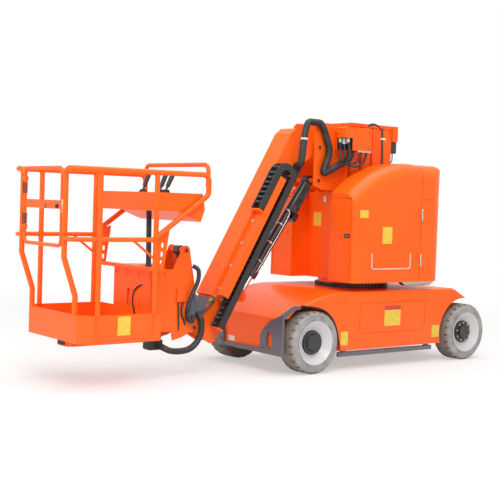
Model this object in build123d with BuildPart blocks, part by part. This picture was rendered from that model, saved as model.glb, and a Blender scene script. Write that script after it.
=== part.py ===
from build123d import *
import os
from math import cos, degrees, hypot, pi, radians, sin

os.makedirs("parts", exist_ok=True)

# A vertical mast lift: a wheeled chassis carries a slewing turret, the turret a
# telescoping mast, the mast a telescopic jib, and the jib a basket for two.
# +X is forward, towards the basket, +Y is the machine's left, +Z is up, and the
# ground is z = 0. Lengths are in millimetres.

# Chassis and wheels
front_axle_x = -52.0
wheelbase = 1740.0
rear_axle_x = front_axle_x - wheelbase
wheel_radius = 241.0
tyre_width = 175.0
wheel_outer_y = 550.0
wheel_y = wheel_outer_y - tyre_width / 2
rim_radius = 171.0
body_half_width = 505.0
body_skin = 24.0
sill_z = 157.0
deck_z = 620.0
nose_x = 226.0
nose_top_z = 430.0
deck_front_x = -352.0
deck_rear_x = -1655.0
tail_x = -1872.0
tail_z = 505.0
spine_half_width = 200.0
rear_spine_half_width = 330.0
nose_skin = 6.0
fender_inner_y = 235.0
fender_thickness = 22.0
arch_radius = 292.0
kingpin_y = 440.0
kingpin_radius = 14.0
spindle_radius = 25.0
running_clearance = 0.05
seat_gap = 0.3

# Slewing turret and its two pods
slew_x = -922.0
ring_radius = 300.0
ring_height = 34.0
turret_z = 690.0
turret_plate = 12.0
pod_front_x = -437.0
pod_seam_x = -1192.0
pod_rear_x = -1512.0
pod_inner_y = 247.0
pod_outer_y = 530.0
pod_wall = 24.0
pod_front_top_z = 1400.0
pod_crown_z = 1660.0
pod_crown_x = -1190.0
pod_rear_drop = 90.0
pod_shoulder = 120.0
pod_front_corner = 45.0
pod_rear_corner = 190.0

# Mast sections, front to back one pitch apart
mast_rear_x = -1152.0
mast_pitch = 123.0
section_depth = 95.0
section_half_width = 186.0
section_wall = 10.0
section_bottom_z = 716.0
section_top_z = 1958.0
section_stroke = 980.0
rail_y = 150.0
rail_width = 30.0
rail_neck = 14.0
rail_depth = 20.0
mast_cover_x = -617.0
mast_cover_half_width = 240.0
mast_cover_top_z = 1410.0
mast_cover_wall = 12.0
fixed_top_z = 1360.0
fixed_outer_y = 480.0
return_inner_y = 236.0
return_wall = 14.0
door_gap = 5.0
seam_gap = 3.0

# Jib: s runs down the jib from its pivot, t runs up from the pivot across it
jib_pivot = (-382.0, 1765.0)
jib_angle = -60.0
jib_half_width = 100.0
jib_low_t = 43.0
jib_high_t = 285.0
jib_wall = 10.0
jib_end_s = 1520.0
fly_end_s = 1838.0
fly_length = 1268.0
fly_gap = 6.0
fly_wall = 8.0
fly_stroke = 600.0
lift_pin = (-382.0, 1498.0)
lug_pin = (288.0, 560.0)
clevis_y = 124.0
clevis_plate = 12.0

# Head that keeps the basket level
level_pivot = (778.0, 350.0)
level_top_pin = (868.0, 930.0)
level_lug_radius = 150.0
head_plate_y = 88.0
head_plate = 10.0
rotator_x = 1075.0

# Basket
floor_rear_x = 1288.0
floor_front_x = 1908.0
basket_half_width = 435.0
floor_z = 320.0
floor_plate = 6.0
toe_top_z = 513.0
toe_plate = 5.0
rail_radius = 19.0
top_rail_z = 1488.0
mid_rail_z = 1023.0
basket_front_x = 2014.0
loop_rear_x = 912.0
post_rear_x = 1348.0
post_front_x = 1793.0
front_post_y = 315.0


def at_y(y):
    """The plane across the machine at y, seen from its right side."""
    return Plane.XZ.offset(-y)


def on_jib(y):
    """The plane across the machine at y, with x down the jib and y across it."""
    down = (cos(radians(jib_angle)), 0, sin(radians(jib_angle)))
    return Plane(origin=(jib_pivot[0], y, jib_pivot[1]), x_dir=down, z_dir=(0, -1, 0))


def jib_point(s, t):
    """The x and z of a point s down the jib and t across it."""
    a = radians(jib_angle)
    x = jib_pivot[0] + s * cos(a) - t * sin(a)
    z = jib_pivot[1] + s * sin(a) + t * cos(a)
    return x, z


def along_jib(x, z):
    """How far down the jib and across it the point (x, z) lies."""
    a = radians(jib_angle)
    dx = x - jib_pivot[0]
    dz = z - jib_pivot[1]
    return dx * cos(a) + dz * sin(a), -dx * sin(a) + dz * cos(a)


def finish(builder, name):
    """Label a finished piece and write it."""
    builder.part.label = name
    export_step(builder.part, "parts/" + name + ".step")


# Tyres and rims: one profile, turned about each axle
wheel_table = [
    # name, axle x, side of the machine, driven
    ("front_left", front_axle_x, 1, False),
    ("front_right", front_axle_x, -1, False),
    ("rear_left", rear_axle_x, 1, True),
    ("rear_right", rear_axle_x, -1, True),
]
bead_radius = 158.0
tread_depth = 11.0
groove_count = 24
groove_width = 17.0
groove_reach = 42.0
shoulder = 20.0
disc_depth = 38.0
hub_radius = 95.0

for name, axle_x, side, driven in wheel_table:
    half = tyre_width / 2
    hub_plane = Plane(origin=(axle_x, side * wheel_y, wheel_radius), z_dir=(0, side, 0))
    with BuildPart() as tyre:
        with BuildSketch(Plane(hub_plane.origin, x_dir=(1, 0, 0), z_dir=(0, 0, 1))):
            with BuildLine():
                Polyline(
                    (bead_radius, -half + 12),
                    (rim_radius + 4, -half),
                    (wheel_radius - shoulder, -half),
                    (wheel_radius, -half + shoulder),
                    (wheel_radius, half - shoulder),
                    (wheel_radius - shoulder, half),
                    (rim_radius + 4, half),
                    (bead_radius, half - 12),
                    close=True,
                )
            make_face()
        revolve(axis=Axis(hub_plane.origin, (0, 1, 0)))
        groove_turn = 360.0 / groove_count
        for edge_side in (-1, 1):
            groove_plane = hub_plane.offset(edge_side * (half - groove_reach / 2))
            with BuildSketch(groove_plane, mode=Mode.PRIVATE) as groove:
                with PolarLocations(wheel_radius, groove_count, start_angle=edge_side * groove_turn / 4):
                    Rectangle(2 * tread_depth, groove_width)
            extrude(groove.sketch, amount=groove_reach / 2 + 1, both=True, mode=Mode.SUBTRACT)
    finish(tyre, "tyre_" + name)

    with BuildPart() as rim:
        with BuildSketch(Plane(hub_plane.origin, x_dir=(1, 0, 0), z_dir=(0, 0, 1))):
            with BuildLine():
                Polyline(
                    (spindle_radius + running_clearance, side * (disc_depth - 22)),
                    (hub_radius, side * (disc_depth - 22)),
                    (bead_radius - 16, side * (half - 34)),
                    (bead_radius - 16, side * (-half + 6)),
                    (rim_radius, side * (-half + 2)),
                    (rim_radius, side * (-half - 2)),
                    (bead_radius - 1, side * (-half + 10)),
                    (bead_radius - 1, side * (half - 10)),
                    (rim_radius, side * (half + 2)),
                    (rim_radius - 6, side * (half + 2)),
                    (bead_radius - 9, side * (half - 14)),
                    (hub_radius + 12, side * disc_depth),
                    (spindle_radius + running_clearance, side * disc_depth),
                    close=True,
                )
            make_face()
        revolve(axis=Axis(hub_plane.origin, (0, 1, 0)))
        with BuildSketch(hub_plane.offset(disc_depth)):
            Circle(hub_radius)
        extrude(amount=14, taper=12)
        with BuildSketch(hub_plane.offset(disc_depth + 14)):
            Circle(62 if driven else 70)
        extrude(amount=20, taper=10 if driven else 25)
        if driven:
            with BuildSketch(hub_plane.offset(disc_depth + 14)):
                with PolarLocations(76, 9):
                    RegularPolygon(7.5, 6)
            extrude(amount=7)
    finish(rim, "wheel_" + name)

# Chassis shell: one side profile, hollowed over the wheels
with BuildPart() as chassis_shell:
    with BuildSketch(at_y(body_half_width)):
        with BuildLine():
            nose = Line((nose_x, sill_z), (nose_x, nose_top_z))
            bonnet = ThreePointArc(nose @ 1, (-40, 560), (deck_front_x, deck_z))
            deck = Line(bonnet @ 1, (deck_rear_x, deck_z))
            tail = Line(deck @ 1, (tail_x, tail_z))
            Polyline(tail @ 1, (rear_axle_x, tail_z), (rear_axle_x, sill_z), nose @ 0)
        make_face()
    extrude(amount=2 * body_half_width)
    top_edges = chassis_shell.edges().filter_by(Axis.X).group_by(Axis.Z)[-1]
    chamfer(top_edges, 14)
    for side in (1, -1):
        # The hollow that the steered wheel turns in, and the lip of the skin over it
        with BuildSketch(at_y(max(side * spine_half_width, side * (body_half_width - body_skin)))):
            with Locations((front_axle_x, wheel_radius)):
                Circle(arch_radius)
            with Locations((front_axle_x + 150, sill_z + 60)):
                Rectangle(320, 2 * (nose_top_z - sill_z - 60))
        extrude(amount=body_half_width - body_skin - spine_half_width, mode=Mode.SUBTRACT)
        with BuildSketch(at_y(max(side * (body_half_width - body_skin), side * (body_half_width + 5)))):
            with BuildLine():
                Polyline(
                    (nose_x + 5, sill_z - 5),
                    (nose_x + 5, nose_top_z + 5),
                    (front_axle_x + 262, nose_top_z + 60),
                    (front_axle_x + 171, 531),
                    (front_axle_x + 20, 512),
                    (front_axle_x - 116, 483),
                    (front_axle_x - 213, 404),
                    (front_axle_x - 262, 300),
                    (front_axle_x - 290, sill_z - 5),
                    close=True,
                )
            make_face()
        extrude(amount=body_skin + 5, mode=Mode.SUBTRACT)
        with BuildSketch(at_y(max(side * (body_half_width + 5), side * rear_spine_half_width))):
            with Locations((rear_axle_x, wheel_radius)):
                Circle(arch_radius)
        extrude(amount=body_half_width + 5 - rear_spine_half_width, mode=Mode.SUBTRACT)
        # Pressed panel in the side between the wheels
        with BuildSketch(at_y(side * body_half_width)):
            with Locations((-930, 405)):
                RectangleRounded(760, 250, 40)
                RectangleRounded(746, 236, 34, mode=Mode.SUBTRACT)
        extrude(amount=side * 4, mode=Mode.SUBTRACT)
        # The skin of the nose in front of the wheel
        inner_y = spine_half_width - 2
        outer_y = body_half_width - body_skin
        with Locations((nose_x - nose_skin / 2, side * (inner_y + outer_y) / 2, (sill_z + nose_top_z) / 2)):
            Box(nose_skin, outer_y - inner_y, nose_top_z - sill_z)
finish(chassis_shell, "chassis_shell")

# Fenders in front of the wheels, each with a tall slot and a band over the wheel's arch,
# and the strip along the foot of the nose that joins them
fender_outer_y = body_half_width - 3
fender_low_z = sill_z - 10
with BuildPart() as front_frame:
    for side in (1, -1):
        with BuildSketch(Plane.YZ.offset(nose_x + seat_gap)):
            with BuildLine():
                Polyline(
                    (side * fender_inner_y, fender_low_z),
                    (side * fender_inner_y, 283),
                    (side * 283, 350),
                    (side * 353, 404),
                    (side * 423, 435),
                    (side * fender_outer_y, 467),
                    (side * fender_outer_y, fender_low_z),
                    close=True,
                )
            make_face()
            with Locations((side * 349, 254)):
                SlotOverall(128, 70, rotation=90, mode=Mode.SUBTRACT)
        extrude(amount=fender_thickness - seat_gap)
        band_y = body_half_width - body_skin + seat_gap
        with BuildSketch(at_y(max(side * band_y, side * fender_outer_y))):
            with BuildLine():
                Polyline(
                    (nose_x + fender_thickness - 2, 425),
                    (nose_x + fender_thickness - 2, 466),
                    (198, 491),
                    (130, 527),
                    (80, 525),
                    (70, 499),
                    (126, 499),
                    (184, 464),
                    (nose_x + 4, 425),
                    close=True,
                )
            make_face()
        extrude(amount=fender_outer_y - band_y)
    with BuildSketch(at_y(fender_inner_y + 2)):
        with Locations((nose_x + (fender_thickness + seat_gap) / 2, sill_z + 7)):
            Rectangle(fender_thickness - seat_gap - 4, 32)
    extrude(amount=2 * fender_inner_y + 4)
finish(front_frame, "front_frame")

# Stub axles with their yokes and kingpins, each seated on the side of the spine
with BuildPart() as front_axle:
    for side in (1, -1):
        root_y = side * spine_half_width
        end_y = side * (kingpin_y - 46)
        with Locations((front_axle_x, (root_y + end_y) / 2, wheel_radius)):
            Box(60, abs(end_y - root_y), 56)
        with Locations((front_axle_x, end_y - side * 8, wheel_radius)):
            Box(44, 16, 186)
        for level in (1, -1):
            with Locations((front_axle_x, side * (kingpin_y - 13), wheel_radius + level * 84)):
                Box(56, 66, 18)
        with Locations((front_axle_x, side * kingpin_y, wheel_radius)):
            Cylinder(kingpin_radius, 186)
finish(front_axle, "front_axle")

for name, side in (("left", 1), ("right", -1)):
    spindle_end_y = wheel_y + disc_depth - seat_gap
    with BuildPart() as knuckle:
        with Locations((front_axle_x, side * (kingpin_y + 2), wheel_radius)):
            Box(48, 44, 2 * (75 - seat_gap))
        with BuildSketch(at_y(side * (kingpin_y + 20))):
            with Locations((front_axle_x, wheel_radius)):
                Circle(spindle_radius)
        extrude(amount=-side * (spindle_end_y - kingpin_y - 20))
        with Locations((front_axle_x - 62, side * (kingpin_y - 6), wheel_radius - 46)):
            Box(80, 26, 20)
        with Locations((front_axle_x, side * kingpin_y, wheel_radius)):
            Cylinder(kingpin_radius + running_clearance, 200, mode=Mode.SUBTRACT)
    finish(knuckle, "knuckle_" + name)

# Drive units between the rear wheels and the chassis
drive_radius = 118.0
with BuildPart() as rear_drives:
    for side in (1, -1):
        with BuildSketch(at_y(side * rear_spine_half_width)):
            with Locations((rear_axle_x, wheel_radius)):
                Circle(drive_radius)
        extrude(amount=-side * (wheel_y - 8 - rear_spine_half_width))
        with BuildSketch(at_y(side * (wheel_y - 9))):
            with Locations((rear_axle_x, wheel_radius)):
                Circle(spindle_radius)
        extrude(amount=-side * (disc_depth + 9 - seat_gap))
finish(rear_drives, "rear_drives")

# Toothed slewing ring on the deck
tooth_count = 60
with BuildPart() as slew_ring:
    with BuildSketch(Plane.XY.offset(deck_z)):
        with Locations((slew_x, 0)):
            Circle(ring_radius)
            with PolarLocations(ring_radius + 4, tooth_count):
                Rectangle(12, 14)
            Circle(ring_radius - 70, mode=Mode.SUBTRACT)
    extrude(amount=ring_height)
finish(slew_ring, "slew_ring")

# Guards under the sills, each on its two links
guard_front_x = -345.0
guard_rear_x = -1420.0
for name, side in (("left", 1), ("right", -1)):
    with BuildPart() as guard:
        with BuildSketch(Plane.XY.offset(108)):
            with Locations(((guard_front_x + guard_rear_x) / 2, side * 482)):
                RectangleRounded(guard_front_x - guard_rear_x, 30, 8)
        extrude(amount=34)
        for x in (guard_front_x - 60, guard_rear_x + 60):
            with BuildSketch(at_y(side * 482 + 8)):
                with BuildLine():
                    Polyline((x - 34, 140), (x + 34, 140), (x + 20, sill_z), (x - 20, sill_z), close=True)
                make_face()
            extrude(amount=16)
    finish(guard, "pothole_guard_" + name)

# Turret bed plate with the upper half of the slewing ring under it
bed_half_width = 498.0
with BuildPart() as turret_base:
    with BuildSketch(Plane.XY.offset(turret_z)):
        with BuildLine():
            Polyline(
                (pod_front_x - pod_wall - 30, bed_half_width),
                (pod_front_x - pod_wall - 30, fixed_outer_y),
                (pod_front_x - pod_wall - seat_gap, fixed_outer_y),
                (pod_front_x - pod_wall - seat_gap, return_inner_y),
                (mast_cover_x, return_inner_y),
                (mast_cover_x, -return_inner_y),
                (pod_front_x - pod_wall - seat_gap, -return_inner_y),
                (pod_front_x - pod_wall - seat_gap, -fixed_outer_y),
                (pod_front_x - pod_wall - 30, -fixed_outer_y),
                (pod_front_x - pod_wall - 30, -bed_half_width),
                (pod_seam_x - seam_gap, -bed_half_width),
                (pod_seam_x - seam_gap, bed_half_width),
                close=True,
            )
        make_face()
    extrude(amount=turret_plate)
    with BuildSketch(Plane.XY.offset(deck_z + ring_height + seat_gap)):
        with Locations((slew_x, 0)):
            Circle(ring_radius - 14)
            Circle(ring_radius - 90, mode=Mode.SUBTRACT)
    extrude(amount=turret_z - deck_z - ring_height - seat_gap)
finish(turret_base, "turret_base")


def pod(side, inset):
    """One whole pod of the turret, with every wall moved in by inset."""
    front = pod_front_x - inset
    rear = pod_rear_x + inset
    low = turret_z - (10 if inset else 0)
    inner = pod_inner_y + inset
    outer = pod_outer_y - inset
    with BuildPart() as shape:
        with BuildSketch(at_y(max(side * inner, side * outer))) as profile:
            with BuildLine():
                face = Line((front, low), (front, pod_front_top_z - inset))
                rise = ThreePointArc(face @ 1, (-718 + inset / 2, 1589 - inset), (pod_crown_x, pod_crown_z - inset))
                Polyline(rise @ 1, (rear, pod_crown_z - inset), (rear, low), (front, low))
            make_face()
            fillet(profile.vertices().group_by(Axis.X)[0].sort_by(Axis.Y)[-1], pod_rear_drop - inset)
        extrude(amount=outer - inner)
        shoulder_edges = shape.edges().filter_by(
            lambda e: abs(abs(e.center().Y) - outer) < 1 and e.center().Z > pod_front_top_z - inset
        )
        fillet(shoulder_edges, pod_shoulder - inset)
        with BuildSketch(Plane.XY.offset(low)) as plan:
            with Locations(((front + rear) / 2, side * (inner + outer) / 2)):
                Rectangle(front - rear, outer - inner)
            outside = plan.vertices().filter_by(lambda v: abs(abs(v.Y) - outer) < 1)
            fillet(outside.sort_by(Axis.X)[-1], pod_front_corner - min(inset, 20))
            outside = plan.vertices().filter_by(lambda v: abs(abs(v.Y) - outer) < 1)
            fillet(outside.sort_by(Axis.X)[0], pod_rear_corner - inset)
        extrude(amount=pod_crown_z + 50 - low, mode=Mode.INTERSECT)
    return shape.part


# Hinges of the pod doors: the door has the upper half of each, the counterweight the lower one
hinge_x = pod_seam_x - seam_gap / 2
hinge_y = pod_outer_y + 8
hinge_radius = 7.0
hinge_half = 49.5
leaf_reach = 43.5
leaf_plate = 5.3
hinge_table = [820.0, 1195.0]


def hinge_halves(side, forward, low_shift):
    """One half of each hinge, its leaf pointing forward (1) or to the rear (-1)."""
    for low_z in hinge_table:
        middle_z = low_z + low_shift + hinge_half / 2
        with Locations((hinge_x, side * hinge_y, middle_z)):
            Cylinder(hinge_radius, hinge_half)
        leaf_y = pod_outer_y - seat_gap + leaf_plate / 2
        with Locations((hinge_x + forward * leaf_reach / 2, side * leaf_y, middle_z)):
            Box(leaf_reach, leaf_plate, hinge_half)


# Swing doors: the side and the top of each pod as one hollow moulding, hinged at the rear seam
grip_depth = 6.0
for name, side in (("left", 1), ("right", -1)):
    with BuildPart() as door:
        add(pod(side, 0))
        add(pod(side, pod_wall), mode=Mode.SUBTRACT)
        with Locations((pod_seam_x + seam_gap - 600, 0, 1200)):
            Box(1200, 1200, 1200, mode=Mode.SUBTRACT)
        # Room for the fixed front of the pod and its inner side
        cut_inner_y = pod_inner_y - 1
        cut_outer_y = fixed_outer_y + door_gap
        cut_low_z = turret_z - 15
        cut_high_z = fixed_top_z + door_gap
        middle = (
            (pod_seam_x + pod_front_x) / 2,
            side * (cut_inner_y + cut_outer_y) / 2,
            (cut_low_z + cut_high_z) / 2,
        )
        with Locations(middle):
            Box(
                pod_front_x - pod_seam_x + 2,
                cut_outer_y - cut_inner_y,
                cut_high_z - cut_low_z,
                mode=Mode.SUBTRACT,
            )
        with BuildSketch(at_y(side * pod_outer_y)):
            with BuildLine():
                FilletPolyline((-640, 930), (-640, 800), (-1080, 800), (-1080, 930), radius=30)
                offset(amount=9, side=Side.BOTH)
            make_face()
        extrude(amount=side * grip_depth, mode=Mode.SUBTRACT)
        hinge_halves(side, 1, hinge_half + 0.5)
    finish(door, "pod_door_" + name)

# Counterweight: the rear of both pods and the block between them, one casting with a
# groove around it where the top begins
groove_z = 1375.0
groove_height = 8.0
with BuildPart() as counterweight:
    for side in (1, -1):
        add(pod(side, 0))
        with BuildPart(mode=Mode.PRIVATE) as groove_cut:
            with Locations((pod_rear_x, side * (pod_inner_y + pod_outer_y) / 2, groove_z)):
                Box(1200, pod_outer_y - pod_inner_y + 60, groove_height)
            add(pod(side, grip_depth), mode=Mode.SUBTRACT)
        add(groove_cut.part, mode=Mode.SUBTRACT)
    with Locations((pod_seam_x - seam_gap + 600, 0, 1200)):
        Box(1200, 1200, 1200, mode=Mode.SUBTRACT)
    with Locations(((pod_rear_x + mast_rear_x) / 2 - 20, 0, turret_z + 290)):
        Box(mast_rear_x - pod_rear_x - 60, 2 * pod_inner_y + 4, 580)
    for side in (1, -1):
        hinge_halves(side, -1, 0)
finish(counterweight, "counterweight")

# Battery and power unit: the heavy blocks behind the two doors
with BuildPart() as battery_pack:
    with Locations(((pod_seam_x + pod_front_x) / 2 + 6, pod_inner_y + 142, turret_z + turret_plate + 240)):
        Box(650, 190, 480)
finish(battery_pack, "battery_pack")
with BuildPart() as power_unit:
    with Locations(((pod_seam_x + pod_front_x) / 2 + 6, -pod_inner_y - 142, turret_z + turret_plate + 190)):
        Box(620, 180, 380)
finish(power_unit, "power_unit")

# Mast sections: a box with two rails on its front, and shoes that clasp the rails behind it
shoe_height = 240.0
shoe_width = 62.0
cap_height = 27.0


def section_plan(back_x, deep, hollow):
    """The outline of one mast section with its two T rails, on the open sketch."""
    front_x = back_x + deep
    with Locations(((back_x + front_x) / 2, 0)):
        Rectangle(deep, 2 * section_half_width)
        if hollow:
            Rectangle(deep - 2 * section_wall, 2 * (section_half_width - section_wall), mode=Mode.SUBTRACT)


def rail_plan(front_x, grow, mode):
    """The two T rails on a section's front face, each side grown by grow."""
    neck = (rail_depth - 12) / 2
    for rail in (rail_y, -rail_y):
        with Locations((front_x + neck, rail)):
            Rectangle(2 * neck + (2 * grow if grow else 0), rail_neck + 2 * grow, mode=mode)
        with Locations((front_x + rail_depth - 6, rail)):
            Rectangle(12 + 2 * grow, rail_width + 2 * grow, mode=mode)


for index in range(4):
    back_x = mast_rear_x + index * mast_pitch
    low_z = turret_z + turret_plate if index == 0 else section_bottom_z
    with BuildPart() as section:
        with BuildSketch(Plane.XY.offset(low_z)):
            section_plan(back_x, section_depth, True)
            rail_plan(back_x + section_depth, 0, Mode.ADD)
        extrude(amount=section_top_z - low_z)
        with BuildSketch(Plane.XY.offset(section_top_z)):
            with Locations((back_x + section_depth / 2, 0)):
                RectangleRounded(section_depth + 20, 2 * section_half_width + 20, 8)
        extrude(amount=cap_height)
        if index > 0:
            with BuildSketch(Plane.XY.offset(low_z)):
                gap = mast_pitch - section_depth
                for rail in (rail_y, -rail_y):
                    with Locations((back_x - (gap - 2) / 2, rail)):
                        Rectangle(gap - 2, shoe_width)
                rail_plan(back_x - gap, seat_gap, Mode.SUBTRACT)
            extrude(amount=shoe_height)
        if index == 0:
            # The hood over the rope wheels at the back of the fixed section
            with Locations((back_x - 30, 0, section_top_z + cap_height - 65)):
                Box(60, 2 * section_half_width + 36, 130)
    finish(section, "mast_section_" + str(index + 1))

# Cover in front of the foot of the mast, open at the back
with BuildPart() as mast_cover:
    with BuildSketch(Plane.XY.offset(turret_z + turret_plate)):
        with Locations(((mast_cover_x + mast_rear_x) / 2, 0)):
            Rectangle(mast_cover_x - mast_rear_x, 2 * mast_cover_half_width)
        with Locations(((mast_cover_x + mast_rear_x) / 2 - mast_cover_wall, 0)):
            Rectangle(
                mast_cover_x - mast_rear_x,
                2 * (mast_cover_half_width - mast_cover_wall),
                mode=Mode.SUBTRACT,
            )
    extrude(amount=mast_cover_top_z - turret_z - turret_plate)
    # The fixed front of each pod, and the wall beside it that joins it to the cover
    for side in (1, -1):
        with BuildSketch(Plane.XY.offset(turret_z + turret_plate)):
            with Locations(((mast_cover_x - 24 + pod_front_x - 2) / 2, side * (return_inner_y + return_wall / 2))):
                Rectangle(pod_front_x - 2 - mast_cover_x + 24, return_wall)
        extrude(amount=fixed_top_z - 2 - turret_z - turret_plate)
        with BuildSketch(Plane.XY.offset(turret_z)):
            with Locations((pod_front_x - pod_wall / 2, side * (return_inner_y + fixed_outer_y) / 2)):
                Rectangle(pod_wall, fixed_outer_y - return_inner_y)
        extrude(amount=fixed_top_z - turret_z)
finish(mast_cover, "mast_cover")

# Carriage: a plate on the last rails, with the two clevis plates of the jib and their pins
carriage_x = mast_rear_x + 4 * mast_pitch
carriage_plate = 24.0
pivot_radius = 25.0
lift_pin_radius = 20.0
with BuildPart() as carriage:
    with BuildSketch(Plane.XY.offset(section_bottom_z)):
        with Locations((carriage_x + carriage_plate / 2, 0)):
            Rectangle(carriage_plate, 2 * section_half_width)
    extrude(amount=section_top_z - section_bottom_z)
    with BuildSketch(Plane.XY.offset(section_bottom_z)):
        gap = mast_pitch - section_depth
        for rail in (rail_y, -rail_y):
            with Locations((carriage_x - (gap - 2) / 2, rail)):
                Rectangle(gap - 2, shoe_width)
        rail_plan(carriage_x - gap, seat_gap, Mode.SUBTRACT)
    extrude(amount=shoe_height)
    clevis_back = carriage_x + carriage_plate
    for side in (1, -1):
        with BuildSketch(at_y(max(side * clevis_y, side * (clevis_y + clevis_plate)))):
            with BuildLine():
                Polyline(
                    (clevis_back, mast_cover_top_z + 14),
                    (jib_pivot[0] - 50, mast_cover_top_z + 14),
                    (jib_pivot[0] + 48, lift_pin[1] - 44),
                    (jib_pivot[0] + 48, section_top_z - 16),
                    (jib_pivot[0] + 20, section_top_z + 8),
                    (clevis_back, section_top_z + 8),
                    close=True,
                )
            make_face()
        extrude(amount=clevis_plate)
    for centre, radius in ((jib_pivot, pivot_radius), (lift_pin, lift_pin_radius)):
        with BuildSketch(at_y(clevis_y + clevis_plate + 8)):
            with Locations(centre):
                Circle(radius)
        extrude(amount=2 * (clevis_y + clevis_plate + 8))
finish(carriage, "carriage")

# Junction box beside the mast, on a tab from the carriage
box_front_x = -512.0
box_rear_x = -812.0
box_low_z = 1752.0
box_high_z = 1940.0
box_inner_y = 200.0
box_outer_y = 300.0
with BuildPart() as junction_box:
    with Locations(((box_front_x + box_rear_x) / 2, (box_inner_y + box_outer_y) / 2, (box_low_z + box_high_z) / 2)):
        Box(box_front_x - box_rear_x, box_outer_y - box_inner_y, box_high_z - box_low_z)
    edges = junction_box.edges().filter_by(Axis.Y).group_by(Axis.Z)[-1]
    chamfer(edges, 12)
    with Locations((box_front_x - 40, (box_inner_y + box_outer_y) / 2 + 4, box_low_z + 48)):
        Box(90, box_outer_y - box_inner_y - 8, 100, mode=Mode.SUBTRACT)
    with Locations((carriage_x + carriage_plate / 2, (section_half_width + box_inner_y) / 2 + 2, box_high_z - 60)):
        Box(carriage_plate, box_inner_y - section_half_width + 4 - seat_gap, 80)
finish(junction_box, "junction_box")

# Jib tube with its pivot ears, its wear pads and the lug of the lift cylinder
lug_s, lug_t = along_jib(*lug_pin)
ear_y = 80.0
ear_plate = 18.0
ear_radius = 42.0
lug_gap = 33.0
lug_plate = 14.0
pad = fly_gap - seat_gap
with BuildPart() as jib_base:
    with BuildSketch(on_jib(jib_half_width)):
        with BuildLine():
            Polyline(
                (-14, jib_low_t),
                (-14, 259),
                (52, jib_high_t),
                (jib_end_s, jib_high_t),
                (jib_end_s, jib_low_t),
                close=True,
            )
        make_face()
    extrude(amount=2 * jib_half_width)
    with BuildSketch(on_jib(jib_half_width - jib_wall)):
        with Locations(((90 + jib_end_s + 1) / 2, (jib_low_t + jib_high_t) / 2)):
            Rectangle(jib_end_s - 89, jib_high_t - jib_low_t - 2 * jib_wall)
    extrude(amount=2 * (jib_half_width - jib_wall), mode=Mode.SUBTRACT)
    for side in (1, -1):
        with BuildSketch(on_jib(max(side * ear_y, side * (ear_y + ear_plate)))):
            Circle(ear_radius)
            with BuildLine():
                Polyline((-40, 10), (-14, jib_low_t), (170, jib_low_t), (34, -24), close=True)
            make_face()
            Circle(pivot_radius + running_clearance, mode=Mode.SUBTRACT)
        extrude(amount=ear_plate)
        with BuildSketch(on_jib(max(side * lug_gap, side * (lug_gap + lug_plate)))):
            with Locations((lug_s, lug_t)):
                Circle(38)
            with BuildLine():
                Polyline(
                    (lug_s - 90, jib_low_t),
                    (lug_s + 70, jib_low_t),
                    (lug_s + 34, lug_t - 16),
                    (lug_s - 34, lug_t - 16),
                    close=True,
                )
            make_face()
        extrude(amount=lug_plate)
        with BuildSketch(on_jib(side * (lug_gap + lug_plate))):
            with Locations((lug_s, lug_t)):
                Circle(22)
        extrude(amount=-side * 10)
    # Wear pads inside the mouth
    for low_t, high_t in ((jib_low_t + jib_wall, jib_low_t + jib_wall + pad), (jib_high_t - jib_wall - pad, jib_high_t - jib_wall)):
        with BuildSketch(on_jib(70)):
            with Locations((jib_end_s - 35, (low_t + high_t) / 2)):
                Rectangle(60, high_t - low_t)
        extrude(amount=140)
    for side in (1, -1):
        wall_y = side * (jib_half_width - jib_wall)
        with BuildSketch(on_jib(wall_y)):
            with Locations((jib_end_s - 35, (jib_low_t + jib_high_t) / 2)):
                Rectangle(60, 160)
        extrude(amount=side * pad)
finish(jib_base, "jib_base")

# Tray beside the jib that carries the drag chain, with a lip along its edge
chain_low_y = jib_half_width + 4
chain_high_y = 200.0
chain_plate = 8.0
tray_front_s = 440.0
tray_end_s = 1500.0
tray_t = 262.0
tray_plate = 4.0
with BuildPart() as chain_tray:
    with BuildSketch(on_jib(chain_high_y + 8)):
        with Locations(((tray_front_s + tray_end_s) / 2, tray_t - tray_plate / 2)):
            Rectangle(tray_end_s - tray_front_s, tray_plate)
    extrude(amount=chain_high_y + 8 - jib_half_width)
    with BuildSketch(on_jib(chain_high_y + 8)):
        with Locations(((tray_front_s + tray_end_s) / 2, tray_t - 29)):
            Rectangle(tray_end_s - tray_front_s, 58)
    extrude(amount=tray_plate)
    with BuildSketch(on_jib(chain_high_y + 4)):
        with Locations((770, tray_t + 26)):
            Rectangle(12, 52)
    extrude(amount=chain_high_y + 4 - jib_half_width)
finish(chain_tray, "chain_tray")

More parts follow.
